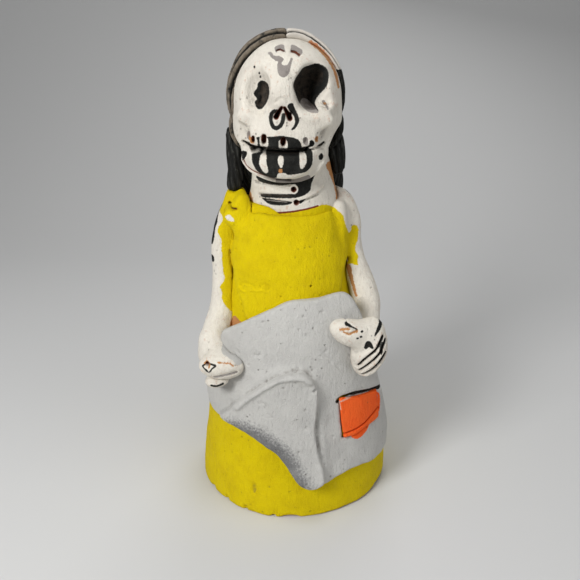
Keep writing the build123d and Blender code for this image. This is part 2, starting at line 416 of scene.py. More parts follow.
class Paint:
    """Builds one material node by node. Sizes of noise are given in millimetres."""

    def __init__(self, name):
        self.material = bpy.data.materials.new(name)
        self.material.use_nodes = True
        self.nodes = self.material.node_tree.nodes
        self.links = self.material.node_tree.links
        self.shader = self.nodes["Principled BSDF"]
        self.place = self.nodes.new("ShaderNodeTexCoord").outputs["Object"]

    def put(self, value, socket):
        """Feeds a socket with another node's output, a colour or a number."""
        if isinstance(value, bpy.types.NodeSocket):
            self.links.new(value, socket)
        elif isinstance(value, tuple):
            socket.default_value = (*value, 1.0)
        else:
            socket.default_value = value

    def noise(self, size, detail=2.0, roughness=0.55, stretch=(1, 1, 1), warp=0.0):
        """Noise from 0 to 1 whose grain is the given number of millimetres."""
        stretched = self.nodes.new("ShaderNodeMapping")
        stretched.inputs["Scale"].default_value = [s * METRE / size for s in stretch]
        self.put(self.place, stretched.inputs["Vector"])
        node = self.nodes.new("ShaderNodeTexNoise")
        self.put(stretched.outputs["Vector"], node.inputs["Vector"])
        node.inputs["Scale"].default_value = 1.0
        node.inputs["Detail"].default_value = detail
        node.inputs["Roughness"].default_value = roughness
        node.inputs["Distortion"].default_value = warp
        return node.outputs["Fac"]

    def specks(self, size, fill):
        """Small round dots, 1 inside and 0 outside. fill is how much of each cell a dot takes."""
        grid = self.nodes.new("ShaderNodeMapping")
        grid.inputs["Scale"].default_value = [METRE / size] * 3
        self.put(self.place, grid.inputs["Vector"])
        node = self.nodes.new("ShaderNodeTexVoronoi")
        self.put(grid.outputs["Vector"], node.inputs["Vector"])
        node.inputs["Scale"].default_value = 1.0
        return self.ramp(node.outputs["Distance"], fill, fill * 0.5)

    def ramp(self, value, low, high):
        """0 at low and 1 at high, and smooth between them."""
        node = self.nodes.new("ShaderNodeMapRange")
        node.interpolation_type = "SMOOTHSTEP"
        self.put(value, node.inputs["Value"])
        flip = low > high
        node.inputs["From Min"].default_value = min(low, high)
        node.inputs["From Max"].default_value = max(low, high)
        node.inputs["To Min"].default_value = 1.0 if flip else 0.0
        node.inputs["To Max"].default_value = 0.0 if flip else 1.0
        return node.outputs["Result"]

    def math(self, operation, a, b=0.0, c=0.0):
        """Two or three values joined by one of Blender's operations."""
        node = self.nodes.new("ShaderNodeMath")
        node.operation = operation
        for value, socket in zip((a, b, c), node.inputs):
            self.put(value, socket)
        return node.outputs[0]

    def mix(self, amount, a, b):
        """Colour a where the amount is 0 and colour b where it is 1."""
        node = self.nodes.new("ShaderNodeMix")
        node.data_type = "RGBA"
        self.put(amount, node.inputs[0])
        self.put(a, node.inputs[6])
        self.put(b, node.inputs[7])
        return node.outputs[2]

    def stored(self, name):
        """The numbers kept on the mesh under a name."""
        node = self.nodes.new("ShaderNodeAttribute")
        node.attribute_name = name
        return node.outputs["Fac"]

    def mark(self, name, ragged=0.5, grain=0.9, edge=0.12):
        """1 inside a stored brush mark and 0 outside, with an edge that wanders by ragged millimetres."""
        wander = self.math("MULTIPLY", self.math("SUBTRACT", self.noise(grain, 3.0, 0.6), 0.5), 2 * ragged)
        return self.ramp(self.math("ADD", self.stored(name), wander), -edge, edge)

    def both(self, a, b):
        """1 only where both values are 1."""
        return self.math("MULTIPLY", a, b)

    def bump(self, height, depth):
        """A bump of the given depth in millimetres."""
        node = self.nodes.new("ShaderNodeBump")
        node.inputs["Strength"].default_value = 1.0
        node.inputs["Distance"].default_value = depth / METRE
        self.put(height, node.inputs["Height"])
        return node.outputs["Normal"]

    def finish(self, colour, roughness, normal):
        """Feeds the shader and gives the material."""
        self.put(colour, self.shader.inputs["Base Color"])
        self.put(roughness, self.shader.inputs["Roughness"])
        self.put(normal, self.shader.inputs["Normal"])
        self.shader.inputs["Specular IOR Level"].default_value = PAINT_SHEEN
        return self.material


def clay_paint(name, base, shade, marks, wear=0.35, speckle=0.35, gloss=0.62):
    """Brushed paint on clay. marks lists (stored name, colour, second colour, ragged, grain, edge)."""
    paint = Paint(name)
    strokes = paint.noise(1.1, 4.0, 0.62, (1, 1, 0.35), 0.3)
    patches = paint.noise(7.0, 3.0, 0.55)
    fine = paint.noise(0.34, 3.0, 0.65)
    crease = paint.stored("crease")
    broad_coat = paint.both(paint.ramp(patches, 0.38, 0.75), 0.45)
    brushed_coat = paint.math("ADD", broad_coat, paint.both(paint.ramp(strokes, 0.45, 0.75), 0.30))
    uneven_coat = paint.math("ADD", brushed_coat, paint.both(paint.ramp(fine, 0.50, 0.72), 0.35))

    colour = paint.mix(uneven_coat, base, shade)
    worn = paint.both(paint.ramp(crease, -0.05, -0.20), paint.ramp(paint.noise(1.6, 4.0, 0.7), 0.55, 0.68))
    colour = paint.mix(paint.both(worn, wear), colour, CLAY_COLOUR)
    for stored, first, second, *edge in marks:
        tint = paint.mix(uneven_coat, first, second)
        colour = paint.mix(paint.mark(stored, *edge), colour, tint)
    # Paint turns darker brown in the hollows, more where the crease is deeper.
    hollow_darkening = paint.both(paint.ramp(crease, 0.06, 0.34), paint.ramp(paint.noise(1.3, 3.0, 0.65), 0.30, 0.62))
    colour = paint.mix(paint.both(hollow_darkening, 0.5), colour, DARK_BROWN)
    dots = paint.both(paint.specks(1.9, 0.20), paint.ramp(paint.noise(5.0, 2.0), 0.5, 0.68))
    colour = paint.mix(paint.both(dots, speckle), colour, DARK_BROWN)
    raw = paint.mix(paint.noise(0.8, 3.0, 0.6), CLAY_COLOUR, TAN)
    # Bare clay is darker in the hollows too.
    raw = paint.mix(paint.ramp(crease, 0.0, 0.35), raw, CLAY_DARK)
    colour = paint.mix(paint.mark("bare", 0.45, 1.0), colour, raw)

    height = paint.math("ADD", paint.math("MULTIPLY", strokes, 0.6), paint.math("MULTIPLY", fine, 0.4))
    height = paint.math("SUBTRACT", height, paint.both(dots, 0.5))
    rough = paint.math("MULTIPLY_ADD", paint.noise(1.5, 3.0), 0.22, gloss)
    return paint.finish(colour, rough, paint.bump(height, 0.95))


def combed_paint(name):
    """Black paint on combed clay, worn brown or brushed pale along the ridges, with rust at the face."""
    paint = Paint(name)
    streaks = paint.noise(0.8, 4.0, 0.65, (1, 1, 0.25), 0.4)
    patches = paint.noise(3.0, 3.0, 0.6)
    ridges = paint.ramp(paint.stored("strand"), -0.20, 0.22)
    colour = paint.mix(paint.both(ridges, paint.ramp(streaks, 0.45, 0.70)), BLACK, BLACK_DRY)
    brown = paint.both(paint.mark("brown", 0.8, 1.0), paint.both(ridges, paint.ramp(patches, 0.30, 0.52)))
    colour = paint.mix(paint.both(brown, 0.9), colour, paint.mix(streaks, HAIR_BROWN, HAIR_WORN))
    pale = paint.both(paint.mark("pale", 0.8, 1.0), paint.ramp(paint.stored("strand"), -0.25, 0.10))
    colour = paint.mix(pale, colour, paint.mix(streaks, HAIR_PALE, WHITE_SHADE))
    colour = paint.mix(paint.both(paint.mark("rust", 0.7, 0.8), 0.9), colour, paint.mix(patches, RUST, TAN))
    colour = paint.mix(paint.mark("bare", 0.45, 1.0), colour, CLAY_COLOUR)
    height = paint.math("ADD", paint.both(streaks, 0.8), paint.both(patches, 0.2))
    rough = paint.math("MULTIPLY_ADD", patches, 0.25, 0.42)
    return paint.finish(colour, rough, paint.bump(height, 0.25))


# ---------------------------------------------------------------------------------------------
# Brush marks. u and v are the X and Z of mesh points, and only points near a mark are measured.

MARK_REACH = 3.0


def front_view(p):
    """X and Z of mesh points."""
    return p[:, 0], p[:, 2]


def near_mark(u, v, outline, measure):
    """Runs a distance function on the points close to an outline and gives the rest a large one."""
    us, vs = zip(*outline)
    close = (u > min(us) - MARK_REACH) & (u < max(us) + MARK_REACH)
    close &= (v > min(vs) - MARK_REACH) & (v < max(vs) + MARK_REACH)
    found = np.full(len(u), FAR, np.float32)
    found[close] = measure(u[close], v[close])
    return found


def area(u, v, points, rounds=2):
    """Signed distance to a painted area with rounded corners."""
    outline = curve(points, True, rounds)
    return near_mark(u, v, outline, lambda a, b: polygon(a, b, outline))


def stroke(u, v, points, radius, end_radius=None):
    """Signed distance to a brush stroke."""
    path = curve(points, False)
    return near_mark(u, v, path, lambda a, b: brush_line(a, b, path, radius, end_radius))


def dot(u, v, centre, radii, lean=0.0):
    """Signed distance to an oval dab."""
    return near_mark(u, v, [centre, centre], lambda a, b: oval(a, b, centre, radii, lean))


# ---------------------------------------------------------------------------------------------
# The paints. Dress and limbs share one brushed edge, so each is the other's mark turned inside out.

SPILL_RAGGED = 0.55
SPILL_GRAIN = 1.1

face_marks = [
    ("black", BLACK, BLACK_DRY, 0.24, 0.6),
    ("grey", LINE_GREY, LINE_PALE, 0.22, 0.6),
    ("tan", TAN, CLAY_COLOUR, 0.5, 0.8),
    ("hole", HOLE, CLAY_DARK, 0.12, 0.5),
]
skull_paint = clay_paint("skull_paint", WHITE, WHITE_SHADE, face_marks)
limb_paint = clay_paint(
    "limb_paint", WHITE, WHITE_SHADE,
    [("yellow", YELLOW, YELLOW_SHADE, SPILL_RAGGED, SPILL_GRAIN), ("cloth", GREY, GREY_SHADE, 0.4, 0.8)]
    + face_marks,
)
dress_paint = clay_paint(
    "dress_paint", YELLOW, YELLOW_SHADE,
    [("white", WHITE, WHITE_SHADE, -SPILL_RAGGED, SPILL_GRAIN), ("hole", HOLE, RUST, 0.12, 0.5)],
    wear=0.05, speckle=0.2,
)
cloth_paint = clay_paint(
    "cloth_paint", GREY, GREY_SHADE,
    [
        # painted shade, speckled with dust, on the fold's lower-left roll
        ("dark", SHADE_AND_SPECKS, SHADE_AND_SPECKS_PALE, 4.5, 0.7, 2.6),
        ("black", BLACK, DARK_BROWN, 0.25, 0.8),
        ("orange", ORANGE, ORANGE_SHADE, 0.3, 0.8),
    ],
    wear=0.0, speckle=0.4,
)
patch_paint = clay_paint(
    "patch_paint", ORANGE, ORANGE_SHADE,
    # painted highlight along the patch's top edge
    [("pale", ORANGE_HIGHLIGHT, WHITE_SHADE, 0.25, 0.7)],
    wear=0.0,
)
hair_paint = combed_paint("hair_paint")

FACE = ("white_paint", skull_paint)
LIMB = ("white_paint", limb_paint)
DRESS = ("yellow_paint", dress_paint)
CLOTH = ("grey_paint", cloth_paint)
PATCH = ("orange_paint", patch_paint)
HAIR = ("hair_paint", hair_paint)


# ---------------------------------------------------------------------------------------------
# Skirt

# Each nick is an angle from the front, a height and a size. Crumbs and dents are X, Z and size.
FOOT_NICKS = (
    (-44, 1.0, 0.9), (-29, 1.2, 0.8), (-58, 0.4, 1.2), (-12, 0.3, 0.8), (140, 0.2, 1.6), (60, 0.3, 1.2),
)
FOOT_CHIP = (-1.5, 0.0)
SKIRT_GOUGE = (-14.6, 10.5)
SKIRT_CRUMBS = ((-9.2, 5.5, 0.8), (-7.6, 6.8, 0.5), (-10.8, 8.4, 0.4), (-12.6, 2.6, 0.6), (12.0, 4.0, 0.6))
SKIRT_DENTS = (
    (-22.0, 29.0, 0.5), (-20.5, 22.0, 0.4), (-12.5, 17.5, 0.4), (-9.0, 12.0, 0.4), (20.0, 9.0, 0.4),
)


def make_body():
    """The hollow bell of the dress, with finger dents, nicks in the foot and a chip at the front."""
    clay = Clay("body_shell", cell=0.6)
    clay.smooth(0.5)
    clay.uneven(0.60, 17.0, 11).uneven(0.26, 5.0, 12).uneven(0.10, (2.5, 2.5, 1.4), 13)
    clay.field = np.maximum(clay.field, -clay.z)
    for angle, height, size in FOOT_NICKS:
        spot = (FOOT_RADIUS * sin(radians(angle)), -FOOT_RADIUS * cos(radians(angle)), height)
        radii = (size * 1.1, size * 1.1, size)
        clay.cut(lambda x, y, z: egg(x, y, z, spot, radii), spot, 4, 0.4)
    chip = (FOOT_CHIP[0], -FOOT_RADIUS, FOOT_CHIP[1])
    clay.cut(lambda x, y, z: egg(x, y, z, chip, (3.6, 1.3, 1.1)), chip, 5, 0.3)
    clay.press(*SKIRT_GOUGE, (0.9, 0.8, 2.4), sink=-0.2)
    for x, z, size in SKIRT_CRUMBS:
        clay.lump(x, z, (size, size * 0.5, size), soft=0.6)
    for x, z, size in SKIRT_DENTS:
        clay.press(x, z, (size, 0.6, size), soft=0.3)

    def bare(p, n):
        outward = (n[:, 0] * p[:, 0] + n[:, 1] * p[:, 1]) / (np.hypot(p[:, 0], p[:, 1]) + 1e-6)
        inside = (outward + 0.45) * 4.0
        under = np.where(p[:, 2] < 3, (n[:, 2] + 0.8) * 4.0, FAR)
        chipped = egg(*p.T, chip, (3.4, 2.0, 1.3))
        wedge = area(*front_view(p), BARE_WEDGE)
        return nearest(inside, under, chipped, only(wedge, p[:, 1] < 0))

    clay.finish({"body_shell": DRESS}, {"bare": bare, "white": nowhere, "hole": nowhere})


# ---------------------------------------------------------------------------------------------
# Bodice, straps, arms and hands: one block of clay, so that the smeared joins run through

UPPER_PIECES = {
    "bodice_panel": DRESS, "strap_front": DRESS, "strap_back": DRESS,
    "right_arm": LIMB, "right_hand": LIMB, "left_arm": LIMB, "left_hand": LIMB, "left_thumb": LIMB,
}
YELLOW_AREA = [
    (-25.4, 121.0), (-9.0, 121.0), (-9.0, 112.0), (9.3, 109.3), (12.9, 107.5), (15.6, 105.3),
    (16.5, 104.2), (17.2, 101.5), (18.2, 98.6), (18.9, 96.9), (19.6, 97.6), (19.9, 99.3), (21.0, 99.6),
    (22.1, 98.7), (22.5, 96.6), (22.2, 94.3), (21.4, 92.7), (21.1, 90.4), (22.6, 89.2), (21.8, 87.1),
    (22.5, 85.7), (19.7, 86.8), (18.7, 86.0), (17.3, 84.7), (16.9, 81.2), (15.5, 64.0), (-16.0, 64.0),
    (-19.2, 68.7), (-20.7, 69.0), (-22.6, 70.2), (-24.3, 72.1), (-25.8, 74.0), (-25.6, 77.1),
    (-26.9, 78.0), (-24.7, 80.4), (-25.4, 83.1), (-25.7, 86.6), (-25.8, 90.7), (-25.9, 94.9),
    (-27.6, 97.0), (-25.9, 100.0), (-24.8, 101.8), (-26.8, 104.4), (-26.2, 110.0), (-24.8, 115.3),
]
MISSED_WHITE = [
    (-24.2, 104.2), (-22.2, 105.1), (-21.2, 104.4), (-20.3, 102.7), (-21.6, 103.0), (-22.9, 103.2),
]
SHOULDER_STAIN = (-29.4, 87.0)
BARE_WEDGE = [(-23.2, 65.0), (-22.6, 67.4), (-21.2, 69.4), (-19.6, 68.2), (-16.2, 67.3), (-16.0, 65.0)]
BODICE_SEAM = [(-22.9, 90.6), (-22.6, 86.4), (-22.1, 82.8), (-20.8, 79.2), (-18.2, 75.8), (-17.8, 70.0)]
BODICE_CRACK = [(-21.8, 80.6), (-20.9, 79.0), (-19.5, 77.6)]
TROWEL_RINGS = ((-16.0, 81.6, 2.7, 1.4), (-10.1, 82.7, 1.4, 1.1))
SHOULDER_FILLS = (((15.6, -6.5, 100.0), (2.4, 3.2, 8.0)), ((13.4, -5.0, 106.0), (3.4, 3.4, 2.6)))
STRAP_SLIT = [(-22.6, 107.3), (-21.0, 106.7), (-19.8, 106.9)]
BODICE_PITS = (
    (-18.3, 81.6, 0.4), (-3.4, 84.3, 0.3), (-1.4, 83.3, 0.3), (5.3, 83.3, 0.55), (-1.0, 89.1, 0.4),
    (-4.7, 80.1, 0.3), (-20.2, 93.2, 0.35), (-22.6, 89.5, 0.3), (9.5, 94.0, 0.25), (-10.5, 98.0, 0.25),
)
ARM_BLACK = [
    (-24.6, 107.0), (-26.0, 105.0), (-27.0, 102.6), (-27.2, 100.0), (-28.2, 97.5), (-28.4, 94.5),
    (-29.4, 91.0), (-33.0, 94.0), (-31.0, 108.0),
]
FINGER_CUTS = (
    [(21.4, 58.4), (23.0, 60.9), (25.2, 63.2), (27.0, 64.9), (28.9, 68.4)],
    [(21.8, 56.2), (24.0, 58.8), (26.3, 61.2), (28.2, 63.4), (30.0, 67.0)],
    [(23.0, 54.6), (25.4, 56.6), (27.6, 59.0), (30.0, 62.6)],
    [(25.0, 53.0), (27.4, 54.6), (29.6, 57.6)],
)
HAND_JOINS = (                    # start, end, radius at the start and at the end
    ((-29.0, -17.0, 61.0), (-26.5, -23.5, 59.0), 3.8, 3.6),
    ((18.0, -29.4, 70.6), (25.5, -25.6, 69.0), 2.8, 4.6),
    ((20.8, -28.4, 68.6), (25.8, -26.6, 63.6), 3.0, 4.4),
)
THUMB_CUTS = (
    [(16.7, 73.5), (18.6, 72.6), (20.3, 71.6)],
    [(15.6, 71.1), (17.6, 70.5), (18.6, 71.1), (20.3, 71.4)],
)
THUMB_DABS = ((21.6, 69.6), (20.4, 69.2), (21.9, 71.2))
HAND_DABS = ((26.2, 68.0), (26.9, 66.4), (27.7, 66.9), (25.2, 69.4))
HAND_BLOB = [
    (23.0, 66.8), (23.5, 67.9), (24.8, 67.8), (25.4, 66.7), (26.1, 65.4), (25.2, 65.0), (24.4, 65.9),
    (23.6, 64.7), (22.6, 65.0),
]
HANDS_BEHIND = -26.0              # bodice paint stops short of the hands, at this Y
HAND_BACK = -18.0                 # the hands' own cuts go no further back than this
HAND_PAINT_BACK = -20.0           # and their paint no further back than this
PINCH = (-29.4, 58.7)
PINCH_PAINT = [
    (-32.0, 57.9), (-31.7, 57.1), (-30.3, 56.6), (-29.3, 55.6), (-27.9, 56.0), (-27.3, 57.3),
    (-26.0, 58.0), (-25.7, 59.3), (-27.8, 59.7), (-30.6, 59.4),
]
# A grey line painted along the shadow under the right hand's mitten.
MITTEN_SHADOW_LINE = [(-27.2, 53.9), (-24.0, 55.0), (-19.6, 55.8)]
MITTEN_TIP = [
    (-25.5, 61.6), (-22.6, 60.6), (-20.6, 59.6), (-19.3, 57.8), (-17.0, 58.0), (-17.0, 62.5),
    (-24.0, 63.5),
]


def sculpt_chest(clay):
    """The seam beside the right arm, the trowel's rings and the pits of the bodice."""
    clay.line(BODICE_SEAM, 0.4, 0.5, back=-2.0)
    clay.line(BODICE_CRACK, 0.45, 1.2, back=-2.0)
    clay.line([(18.4, 88.0), (17.3, 84.7), (16.4, 78.0)], 0.8, 1.2, back=-2.0)
    clay.line([(-19.6, 80.2), (-17.0, 80.0), (-11.1, 81.6), (-9.1, 81.5)], 0.35, -0.35, back=-8.0)
    for x, z, width, height in TROWEL_RINGS:
        turns = np.linspace(0, 2 * pi, 13)
        clay.line([(x + width * cos(a), z + height * sin(a)) for a in turns], 0.30, 0.28, back=-8.0)
    for x, z, size in BODICE_PITS:
        clay.press(x, z, (size, 0.8, size * 0.8), soft=0.2)
    clay.line([(-12.0, 103.0), (-4.0, 102.0), (1.0, 98.5)], 1.8, 0.30, back=-8.0)
    clay.line([(-16.0, 88.0), (-4.0, 86.5), (12.0, 89.5)], 3.0, -0.35, back=-8.0)
    clay.line(STRAP_SLIT, 0.40, 0.7, back=0.0)
    for place, radii in SHOULDER_FILLS:
        clay.add(lambda x, y, z: egg(x, y, z, place, radii), place, 11, 2.5)


def sculpt_hands(clay):
    """The cut fingers and thumb of the left hand and the pinched right one."""
    for start, end, radius, end_radius in HAND_JOINS:
        middle = np.add(start, end) / 2
        clay.add(lambda x, y, z: rod(x, y, z, start, end, radius, end_radius), middle, 10, 2.0)
    for cut in FINGER_CUTS:
        clay.line(cut, 0.42, 1.5, back=HAND_BACK)
        clay.line([(x - 0.7, z + 0.7) for x, z in cut], 0.5, -0.35, back=HAND_BACK)
    for cut in THUMB_CUTS:
        clay.line(cut, 0.40, 0.55, back=HAND_BACK)
    clay.line([(20.2, 62.6), (22.4, 64.2), (24.6, 66.0)], 0.9, 0.45, back=HAND_BACK)
    clay.press(*PINCH, (0.8, 2.4, 0.75), soft=0.2)
    lip = [(PINCH[0] + cos(a), PINCH[1] - 1.2 + sin(a)) for a in (3.4, 4.3, 5.2, 6.2)]
    clay.line(lip, 0.4, -0.5, back=HAND_BACK)
    clay.line([(-27.4, 54.0), (-24.0, 55.2), (-20.0, 56.0)], 0.5, 0.5, back=HAND_BACK)


def make_upper_body():
    """Bodice, straps, arms and hands."""
    clay = Clay(*UPPER_PIECES, cell=0.32, soft=1.2, margin=3.5)
    clay.smooth(0.55)
    smeared = soften(clay.field, 1.6 / clay.cell)
    shoulders = np.clip((clay.z - 90.0) / 6.0, 0, 1) * np.clip((np.abs(clay.x) - 12.0) / 4.0, 0, 1)
    clay.field += shoulders * (smeared - clay.field)
    clay.uneven(0.34, 9.0, 21).uneven(0.15, 3.0, 22).uneven(0.06, 1.3, 23)
    sculpt_chest(clay)
    sculpt_hands(clay)
    dress = np.minimum.reduce([clay.shares[n] for n, look in UPPER_PIECES.items() if look is DRESS])
    limbs = np.minimum.reduce([clay.shares[n] for n, look in UPPER_PIECES.items() if look is LIMB])

    def yellow(p, n):
        u, v = front_view(p)
        front = np.maximum(area(u, v, YELLOW_AREA, 1), -area(u, v, MISSED_WHITE))
        front = np.maximum(front, HANDS_BEHIND - p[:, 1])
        behind = clay.sample(dress - limbs, p)
        return np.where(p[:, 1] < 0.5, front, behind)

    def white(p, n):
        return -yellow(p, n)

    def black(p, n):
        u, v = front_view(p)
        hair_smear = nearest(area(u, v, ARM_BLACK), dot(u, v, SHOULDER_STAIN, (0.8, 1.3)))
        shoulder_line = stroke(u, v, [(14.6, 114.6), (16.5, 112.6), (19.6, 109.6)], 0.7, 0.3)
        hand = nearest(
            *[stroke(u, v, cut, 0.30, 0.55) for cut in FINGER_CUTS],
            area(u, v, HAND_BLOB),
            area(u, v, [(27.6, 64.4), (28.8, 67.6), (29.6, 66.0), (28.8, 62.0)]),
            stroke(u, v, [(28.6, 72.4), (27.0, 70.4), (26.4, 69.4)], 0.75, 0.30),
            stroke(u, v, [(16.7, 73.6), (18.4, 72.9), (20.3, 71.8)], 0.45, 0.20),
            *[dot(u, v, spot, (0.5, 0.35)) for spot in THUMB_DABS],
            *[dot(u, v, spot, (0.22, 0.22)) for spot in HAND_DABS],
            np.abs(area(u, v, PINCH_PAINT) + 0.7) - 0.28,
        )
        hand = only(hand, p[:, 1] < HAND_PAINT_BACK)
        return nearest(hair_smear, only(shoulder_line, p[:, 1] > 0.2), hand)

    def tan(p, n):
        u, v = front_view(p)
        strip = stroke(u, v, [(18.9, 85.4), (20.0, 81.0), (21.5, 76.1)], 0.8, 0.45)
        thumb = nearest(
            stroke(u, v, [(14.7, 71.9), (16.6, 72.4), (17.8, 72.4)], 0.30),
            stroke(u, v, [(16.0, 71.2), (17.6, 70.6), (18.8, 71.2), (20.3, 71.3)], 0.35),
        )
        mitten = nearest(
            stroke(u, v, [(-25.8, 59.6), (-21.8, 59.3), (-20.8, 58.3)], 0.22),
            stroke(u, v, [(-30.4, 58.9), (-29.4, 59.7), (-28.6, 59.0), (-28.9, 57.8)], 0.28),
        )
        hands = only(nearest(thumb, mitten), p[:, 1] < HAND_PAINT_BACK)
        return nearest(only(strip, p[:, 1] < 2), hands)

    def hole(p, n):
        u, v = front_view(p)
        slits = nearest(
            stroke(u, v, STRAP_SLIT, 0.30),
            stroke(u, v, BODICE_CRACK, 0.16, 0.42),
            stroke(u, v, [(-10.0, 106.9), (-3.4, 107.5), (3.2, 108.6), (9.0, 109.4)], 0.35),
            dot(u, v, PINCH, (0.65, 0.6)),
        )
        return only(slits, p[:, 1] < -4)

    def cloth(p, n):
        return only(area(*front_view(p), MITTEN_TIP), p[:, 1] < HAND_PAINT_BACK)

    # Painted shadow: a grey line under the mitten.
    def grey(p, n):
        return only(stroke(*front_view(p), MITTEN_SHADOW_LINE, 0.35), p[:, 1] < HAND_PAINT_BACK)

    def bare(p, n):
        return only(area(*front_view(p), BARE_WEDGE), p[:, 1] < -6)

    marks = {
        "yellow": yellow, "white": white, "black": black, "tan": tan, "hole": hole, "cloth": cloth,
        "grey": grey, "bare": bare,
    }
    clay.finish(UPPER_PIECES, marks)


def make_right_thumb():
    """The pellet under the right hand."""
    clay = Clay("right_thumb", cell=0.22)
    clay.smooth(0.35)
    clay.uneven(0.12, 2.5, 105)

    # Painted shadow: a black stroke along the pellet's lower edge.
    def black(p, n):
        return stroke(*front_view(p), [(-28.4, 50.6), (-26.6, 50.4), (-24.6, 51.2)], 0.45)

    others = ("hole", "grey", "yellow", "tan", "cloth")
    clay.finish({"right_thumb": LIMB}, {"black": black, **{name: nowhere for name in others}})


# ---------------------------------------------------------------------------------------------
# Head. Skull and jaw are one block of clay too. Outlines count from the head's centre.

SKULL_LOW, SKULL_HIGH = corners("skull")
HEAD_RISE = 18.0
HEAD = (SKULL_LOW + SKULL_HIGH) / 2
HEAD[2] = SKULL_HIGH[2] - HEAD_RISE

LEFT_EYE = [
    (9.2, 11.1), (7.0, 10.5), (4.8, 9.9), (3.6, 8.2), (2.4, 6.6), (1.8, 4.9), (2.3, 3.2), (3.1, 0.7),
    (4.0, -0.9), (6.2, -2.6), (9.2, -3.2), (9.9, -2.6), (8.6, -1.2), (9.1, 0.2), (10.3, 1.7), (11.8, 3.3),
    (12.7, 4.9), (13.0, 6.6), (12.9, 8.6), (11.7, 10.1),
]
# The floor of the left eye socket faces up; a lighter grey patch on the black paints the light it catches.
LEFT_EYE_LIT_LEDGE = [(3.8, -0.8), (4.9, 0.5), (6.4, -0.1), (8.2, -1.6), (9.9, -2.9), (9.2, -3.4), (6.2, -2.9)]
RIGHT_EYE = [
    (-8.6, 5.7), (-7.4, 6.0), (-6.1, 5.4), (-5.5, 4.3), (-5.4, 2.5), (-5.7, 0.7), (-6.4, -0.8),
    (-7.6, -2.3), (-9.0, -2.7), (-9.9, -1.6), (-10.2, -0.5), (-9.3, 0.4), (-10.5, 1.5), (-10.2, 2.7),
    (-9.2, 3.6), (-9.3, 4.6),
]
RIGHT_EYE_RIDGE = [(-6.4, 8.7), (-5.2, 6.4), (-4.8, 3.4), (-5.2, 0.9), (-6.8, -2.2), (-9.3, -4.0)]
BROW_RIGHT = [
    (-3.9, 15.6), (-2.5, 16.2), (-0.9, 16.4), (-0.7, 15.1), (-0.2, 13.9), (-1.1, 14.5), (-2.2, 14.8),
    (-3.1, 14.5), (-3.3, 13.9), (-3.7, 14.7),
]
BROW_LEFT = [
    (1.2, 16.3), (2.6, 16.1), (3.6, 15.4), (5.0, 14.7), (4.4, 13.4), (3.3, 12.7), (3.9, 13.7),
    (3.0, 14.5), (1.4, 14.5), (1.0, 13.9), (1.1, 15.4),
]
BROW_CROSS = [
    (-6.1, 14.0), (-4.9, 14.4), (-4.4, 13.8), (-4.2, 13.4), (-3.2, 13.1), (-2.3, 13.2), (-1.5, 12.9),
    (-0.8, 12.4), (-1.4, 11.7), (-1.7, 10.9), (-0.9, 10.6), (0.3, 10.8), (0.7, 11.6), (1.1, 12.7),
    (1.9, 12.7), (1.5, 11.6), (1.1, 9.9), (0.7, 8.5), (-0.3, 7.6), (-1.2, 7.4), (-2.1, 7.8), (-2.8, 8.9),
    (-3.0, 10.5), (-2.6, 11.8), (-3.3, 11.7), (-4.0, 12.3), (-4.9, 12.7), (-5.3, 13.4),
]
BROW_SLITS = ([(-3.1, 14.6), (-2.0, 14.9), (-0.9, 14.4)], [(1.5, 14.4), (2.6, 14.2), (3.7, 13.4)])
NOSE_HOLES = (((-1.6, -1.3), (-3.3, -4.3)), ((-0.7, -1.4), (0.9, -4.7)))
NOSE_RING = [
    (-3.4, -2.2), (-4.9, -3.4), (-5.0, -5.2), (-4.5, -6.9), (-3.7, -7.6), (-2.8, -7.5), (-1.9, -6.8),
    (-1.2, -5.4), (-1.0, -3.6),
]
NOSE_SLASH = [
    (0.0, -0.9), (0.6, -0.2), (1.7, 0.2), (2.1, -0.9), (2.8, -2.4), (3.6, -4.0), (3.9, -5.2), (3.5, -6.4),
    (2.7, -7.6), (1.7, -8.3), (1.0, -8.0), (2.0, -7.2), (2.6, -5.4), (2.2, -4.2), (1.4, -3.3),
    (0.6, -2.2),
]
LIP_BAND = [
    (-9.9, -10.5), (-7.8, -10.2), (-5.3, -10.2), (-1.9, -9.8), (0.6, -10.1), (2.1, -10.3), (3.4, -10.9),
    (4.3, -11.9), (4.6, -13.4), (5.2, -15.2), (-10.4, -15.6), (-10.5, -14.6), (-9.6, -13.4),
]
LIP_HOLES = ((-10.6, -11.3, 0.55, 1.2), (-7.2, -11.0, 0.85, 1.6), (-1.2, -11.7, 0.9, 1.4))
TONGUE = [(-1.2, 0.8), (1.2, 0.8), (1.5, -1.2), (1.3, -2.3), (0.2, -3.1), (-1.2, -2.2), (-1.4, -1.0)]
MOUTH = [(-10.3, -14.8), (-9.0, -14.6), (-5.0, -14.9), (-0.7, -15.0), (3.8, -14.9), (5.2, -14.6)]
MOUTH_CORNERS = (
    [(-14.1, -12.9), (-12.4, -13.5), (-9.8, -14.4)],
    [(4.9, -14.6), (6.2, -13.8), (7.1, -13.3)],
)
JAW_BLACK = [
    (-11.1, -15.5), (-11.3, -18.1), (-10.7, -20.0), (-9.6, -21.6), (-6.8, -23.0), (-3.4, -23.4),
    (-2.9, -21.3), (-0.7, -21.1), (0.4, -22.0), (4.1, -21.5), (6.0, -21.2), (7.9, -19.4), (8.2, -17.1),
    (7.9, -14.6), (6.3, -13.6),
]
